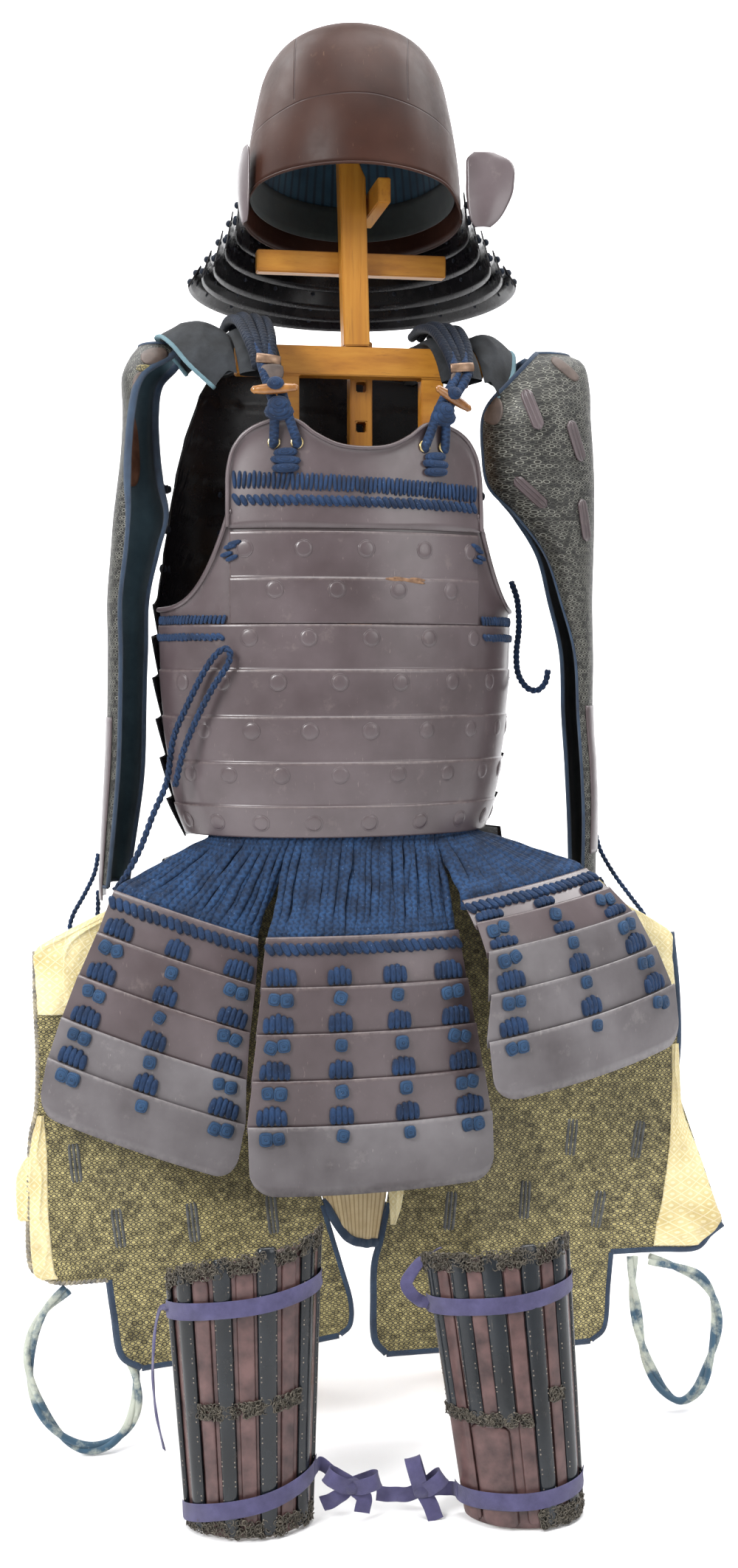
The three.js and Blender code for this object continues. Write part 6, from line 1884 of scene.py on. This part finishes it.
# %% Ribbons
def ribbon(path, across, width=17.0, thick=1.1, steps=60):
    """A flat band as (vertices, faces, uv): across is the direction of its width, one for all points or
    one for each."""
    across = np.asarray(across, float)
    if across.ndim == 2:
        both = smooth_path(np.hstack([path, across * 40]), steps)
        path, across = both[:, :3], both[:, 3:]
    else:
        path = smooth_path(path, steps)
    along = unit(np.gradient(path, axis=0))
    across = unit(across - along * (across * along).sum(-1, keepdims=True))
    normal = np.cross(along, across)
    a = np.linspace(0, 2 * math.pi, 18, endpoint=False)[None, :, None]
    wide = np.sign(np.cos(a)) * np.abs(np.cos(a)) ** 0.5 * width / 2
    curl = 0.7 * np.cos(2 * a) * np.sin(np.linspace(0, 14, steps + 1))[:, None, None]
    ring = path[:, None] + wide * across[:, None] + (np.sin(a) * thick / 2 + curl) * normal[:, None]
    ends = [end.mean(1, keepdims=True).repeat(18, 1) for end in (ring[:1], ring[-1:])]
    ring = np.concatenate([ends[0], ring, ends[1]])
    ring = on_floor(ring)
    return ring.reshape(-1, 3), grid_faces(len(ring), 18, True), grid_uv(ring, True)


def run(path):
    return np.linalg.norm(np.diff(np.asarray(path, float), axis=0), axis=1).sum() * MM


UP = (0, 0, 1)


def band(shin, start, end, low, high, out=5.6):
    """Points of a ribbon round the guard between two angles, rising evenly from low to high, in
    millimetres."""
    angle = np.linspace(start, end, 16)
    z = low + (high - low) * (angle - start) / (end - start)
    return shin_point(shin, angle, z, out) / MM + MIDDLE


def bow(knot, reaches, tails, width=16.0):
    """Two loops and two tails from a knot. A loop runs out along its reach, turns back towards the guard at
    its end, and returns a little higher."""
    shapes, length = [], 0.0
    knot = np.asarray(knot, float)
    for reach in np.asarray(reaches, float):
        side = np.cross(unit(reach), (0, 1, 0))
        path = [knot + (0, -4, 0), knot + reach * 0.35 + (0, -9, 0),
                knot + reach * 0.8 + (0, -9, 0), knot + reach + (0, -1, 0),
                knot + reach * 0.8 + (0, 6, 0), knot + reach * 0.35 + (0, 5, 0), knot + (0, 1, 0)]
        shapes.append(ribbon(path, side, width))
        length += run(path)
    for tail in tails:
        path = knot + np.asarray(tail["path"], float)
        shapes.append(ribbon(path, np.asarray(tail["across"], float), width))
        length += run(path)
    lump = bead(9.5, 8.5, 8, power=2.4)
    shapes.append((on_floor(lump[0] + knot), lump[1], lump[2]))
    return shapes, length + 0.05


left, right = SHINS
top_left = band(left, -86, 86, 214, 243)
down = np.array([(-8, 6, -6), (-13, 8, -30), (-15, 8, -70), (-12, 8, -112), (-4, 8, -150)]) + top_left[0]
tail = [top_left[1], top_left[0] + (-3, 2, 0), *down]
shapes = [ribbon(top_left, UP, 17.5), ribbon(tail, (0.4, -1, 0.1), 8.0)]
tie = dress("shin_top_tie_left", joined(shapes), RIBBON, "ribbon")
run(top_left) + 0.5 * run(down)
top_right = band(right, -86, 86, 208, 231)
loop = np.array([(-16, -4, 10), (-20, -2, 22), (-4, 6, 42), (14, 16, 50)]) + top_right[0]
tail = [top_right[1], top_right[0] + (-7, -3, 2), *loop]
shapes = [ribbon(top_right, UP, 17.5), ribbon(tail, (1, 0, 0.6), 13.0)]
tie = dress("shin_top_tie_right", joined(shapes), RIBBON, "ribbon")
run(top_right) + 0.7 * run(loop)

low_left = band(left, -86, 86, 14, 56)
end = low_left[-1]
knot = end + (36, -8, -22)
shapes, length = bow(knot, [(-26, -2, 14), (28, 0, 8)], [
    {"path": [(0, 0, 0), (12, -4, -10), (10, -8, -24)], "across": (1, 0.2, 0.3)},
    {"path": [(0, 0, 0), (-16, -2, -12), (-30, -2, -18)], "across": (0.4, 0, 1)}])
tail = [low_left[-2], end + (4, 0, -3), (end + knot) / 2 + (0, -2, 1), knot]
shapes += [ribbon(low_left, UP, 18.0), ribbon(tail, UP, 15.0)]
tie = dress("shin_low_tie_left", joined(shapes), RIBBON, "ribbon", "shin_tie_left")
run(low_left) + length + 0.04

low_right = band(right, -86, 86, 24, 36)
start = low_right[0]
knot = start + (-34, -10, 2)
shapes, length = bow(knot, [(-10, 0, 34), (22, 0, 16)], [
    {"path": [(0, 0, 0), (-18, -2, -4), (-46, -4, -2)], "across": (0.3, 0, 1)},
    {"path": [(0, 0, 0), (8, -6, -12), (14, -12, -26)], "across": (1, 0.3, 0.4)}])
tail = [low_right[1], start + (-4, -2, 0), (start + knot) / 2, knot]
shapes += [ribbon(low_right, UP, 18.0), ribbon(tail, UP, 15.0)]
tie = dress("shin_low_tie_right", joined(shapes), RIBBON, "ribbon", "shin_tie_right")
run(low_right) + length + 0.04

# %% [markdown]
# ## Free cords
#
# The armour is closed with cords that now hang loose. Each follows a few points, joined by a smooth
# curve, and is made as two braided strands twisted round that line. The thigh guard's
# loops are tubes of faded cloth, twisted too.

# %% Routes of the cords
LOOP_LEFT = [(-343, 178), (-366, 158), (-381, 130), (-385, 98), (-378, 64), (-362, 35), (-341, 15), (-319, 7),
             (-297, 12), (-279, 28), (-270, 52), (-270, 80), (-275, 98)]
LOOP_RIGHT = [(300, 178), (299, 152), (302, 118), (307, 84), (316, 54), (331, 27), (352, 12), (374, 24),
              (389, 55), (399, 94), (396, 126), (379, 150), (350, 164), (320, 174)]
WAIST = [(-270, -122, 612), (-258, -122, 628), (-243, -118, 656), (-229, -110, 694), (-214, -104, 731),
         (-206, -111, 777), (-190, -124, 813), (-169, -132, 853), (-153, -139, 873), (-142, -142, 875),
         (-143, -142, 860), (-160, -138, 834), (-177, -131, 803), (-194, -121, 764), (-204, -112, 726)]
SIDE = [(176, 50, 956), (183, 50, 934), (185, 50, 904), (182, 48, 872), (184, 44, 848), (194, 40, 832),
        (206, 37, 829), (215, 35, 838), (218, 34, 852)]
WRIST_LEFT = [(-305, -4, 640), (-309, -8, 618), (-320, -14, 594), (-332, -18, 572), (-336, -20, 555),
              (-328, -20, 542), (-315, -18, 541), (-307, -15, 554), (-305, -11, 576), (-305, -8, 598)]
WRIST_RIGHT = [(278, 56, 660), (284, 54, 638), (300, 50, 610), (319, 46, 584), (335, 43, 562), (338, 42, 545),
               (328, 42, 533), (315, 43, 538), (306, 46, 558), (294, 50, 584), (283, 53, 606)]


def free_cord(name, path, radius, paint, slot, solid, strands=2, pitch=0.016):
    cord = dress(name, twisted(path, radius, strands, pitch), paint, slot, solid)
    return cord


# %% Cords
for name, points in (("left", LOOP_LEFT), ("right", LOOP_RIGHT)):
    path = on_stand(smooth_path([(x, -50 - 0.13 * (620 - z) + 11, z) for x, z in points], 200))
    free_cord(f"loop_{name}", path, 6.5 * MM, LOOP_CLOTH, "pale_cloth",
              f"thigh_loop_{name}", 2, 0.14)
free_cord("waist_cord", on_floor(smooth_path(WAIST, 260)), 3.7 * MM, LACE, "lace", "waist_cord")
free_cord("side_cord", on_floor(smooth_path(SIDE, 120)), 3.8 * MM, LACE, "lace",
          "side_cord", 2, 0.012)
free_cord("wrist_cord_left", on_floor(smooth_path(WRIST_LEFT, 140)), 2.8 * MM, LACE, "lace",
          "wrist_cord_left", 2, 0.012)
free_cord("wrist_cord_right", on_floor(smooth_path(WRIST_RIGHT, 140)), 2.8 * MM, LACE, "lace",
          "wrist_cord_right", 2, 0.012)

# %% Finish
low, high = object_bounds()
print("dressed box:", [round(v, 3) for v in (*low, *high)])
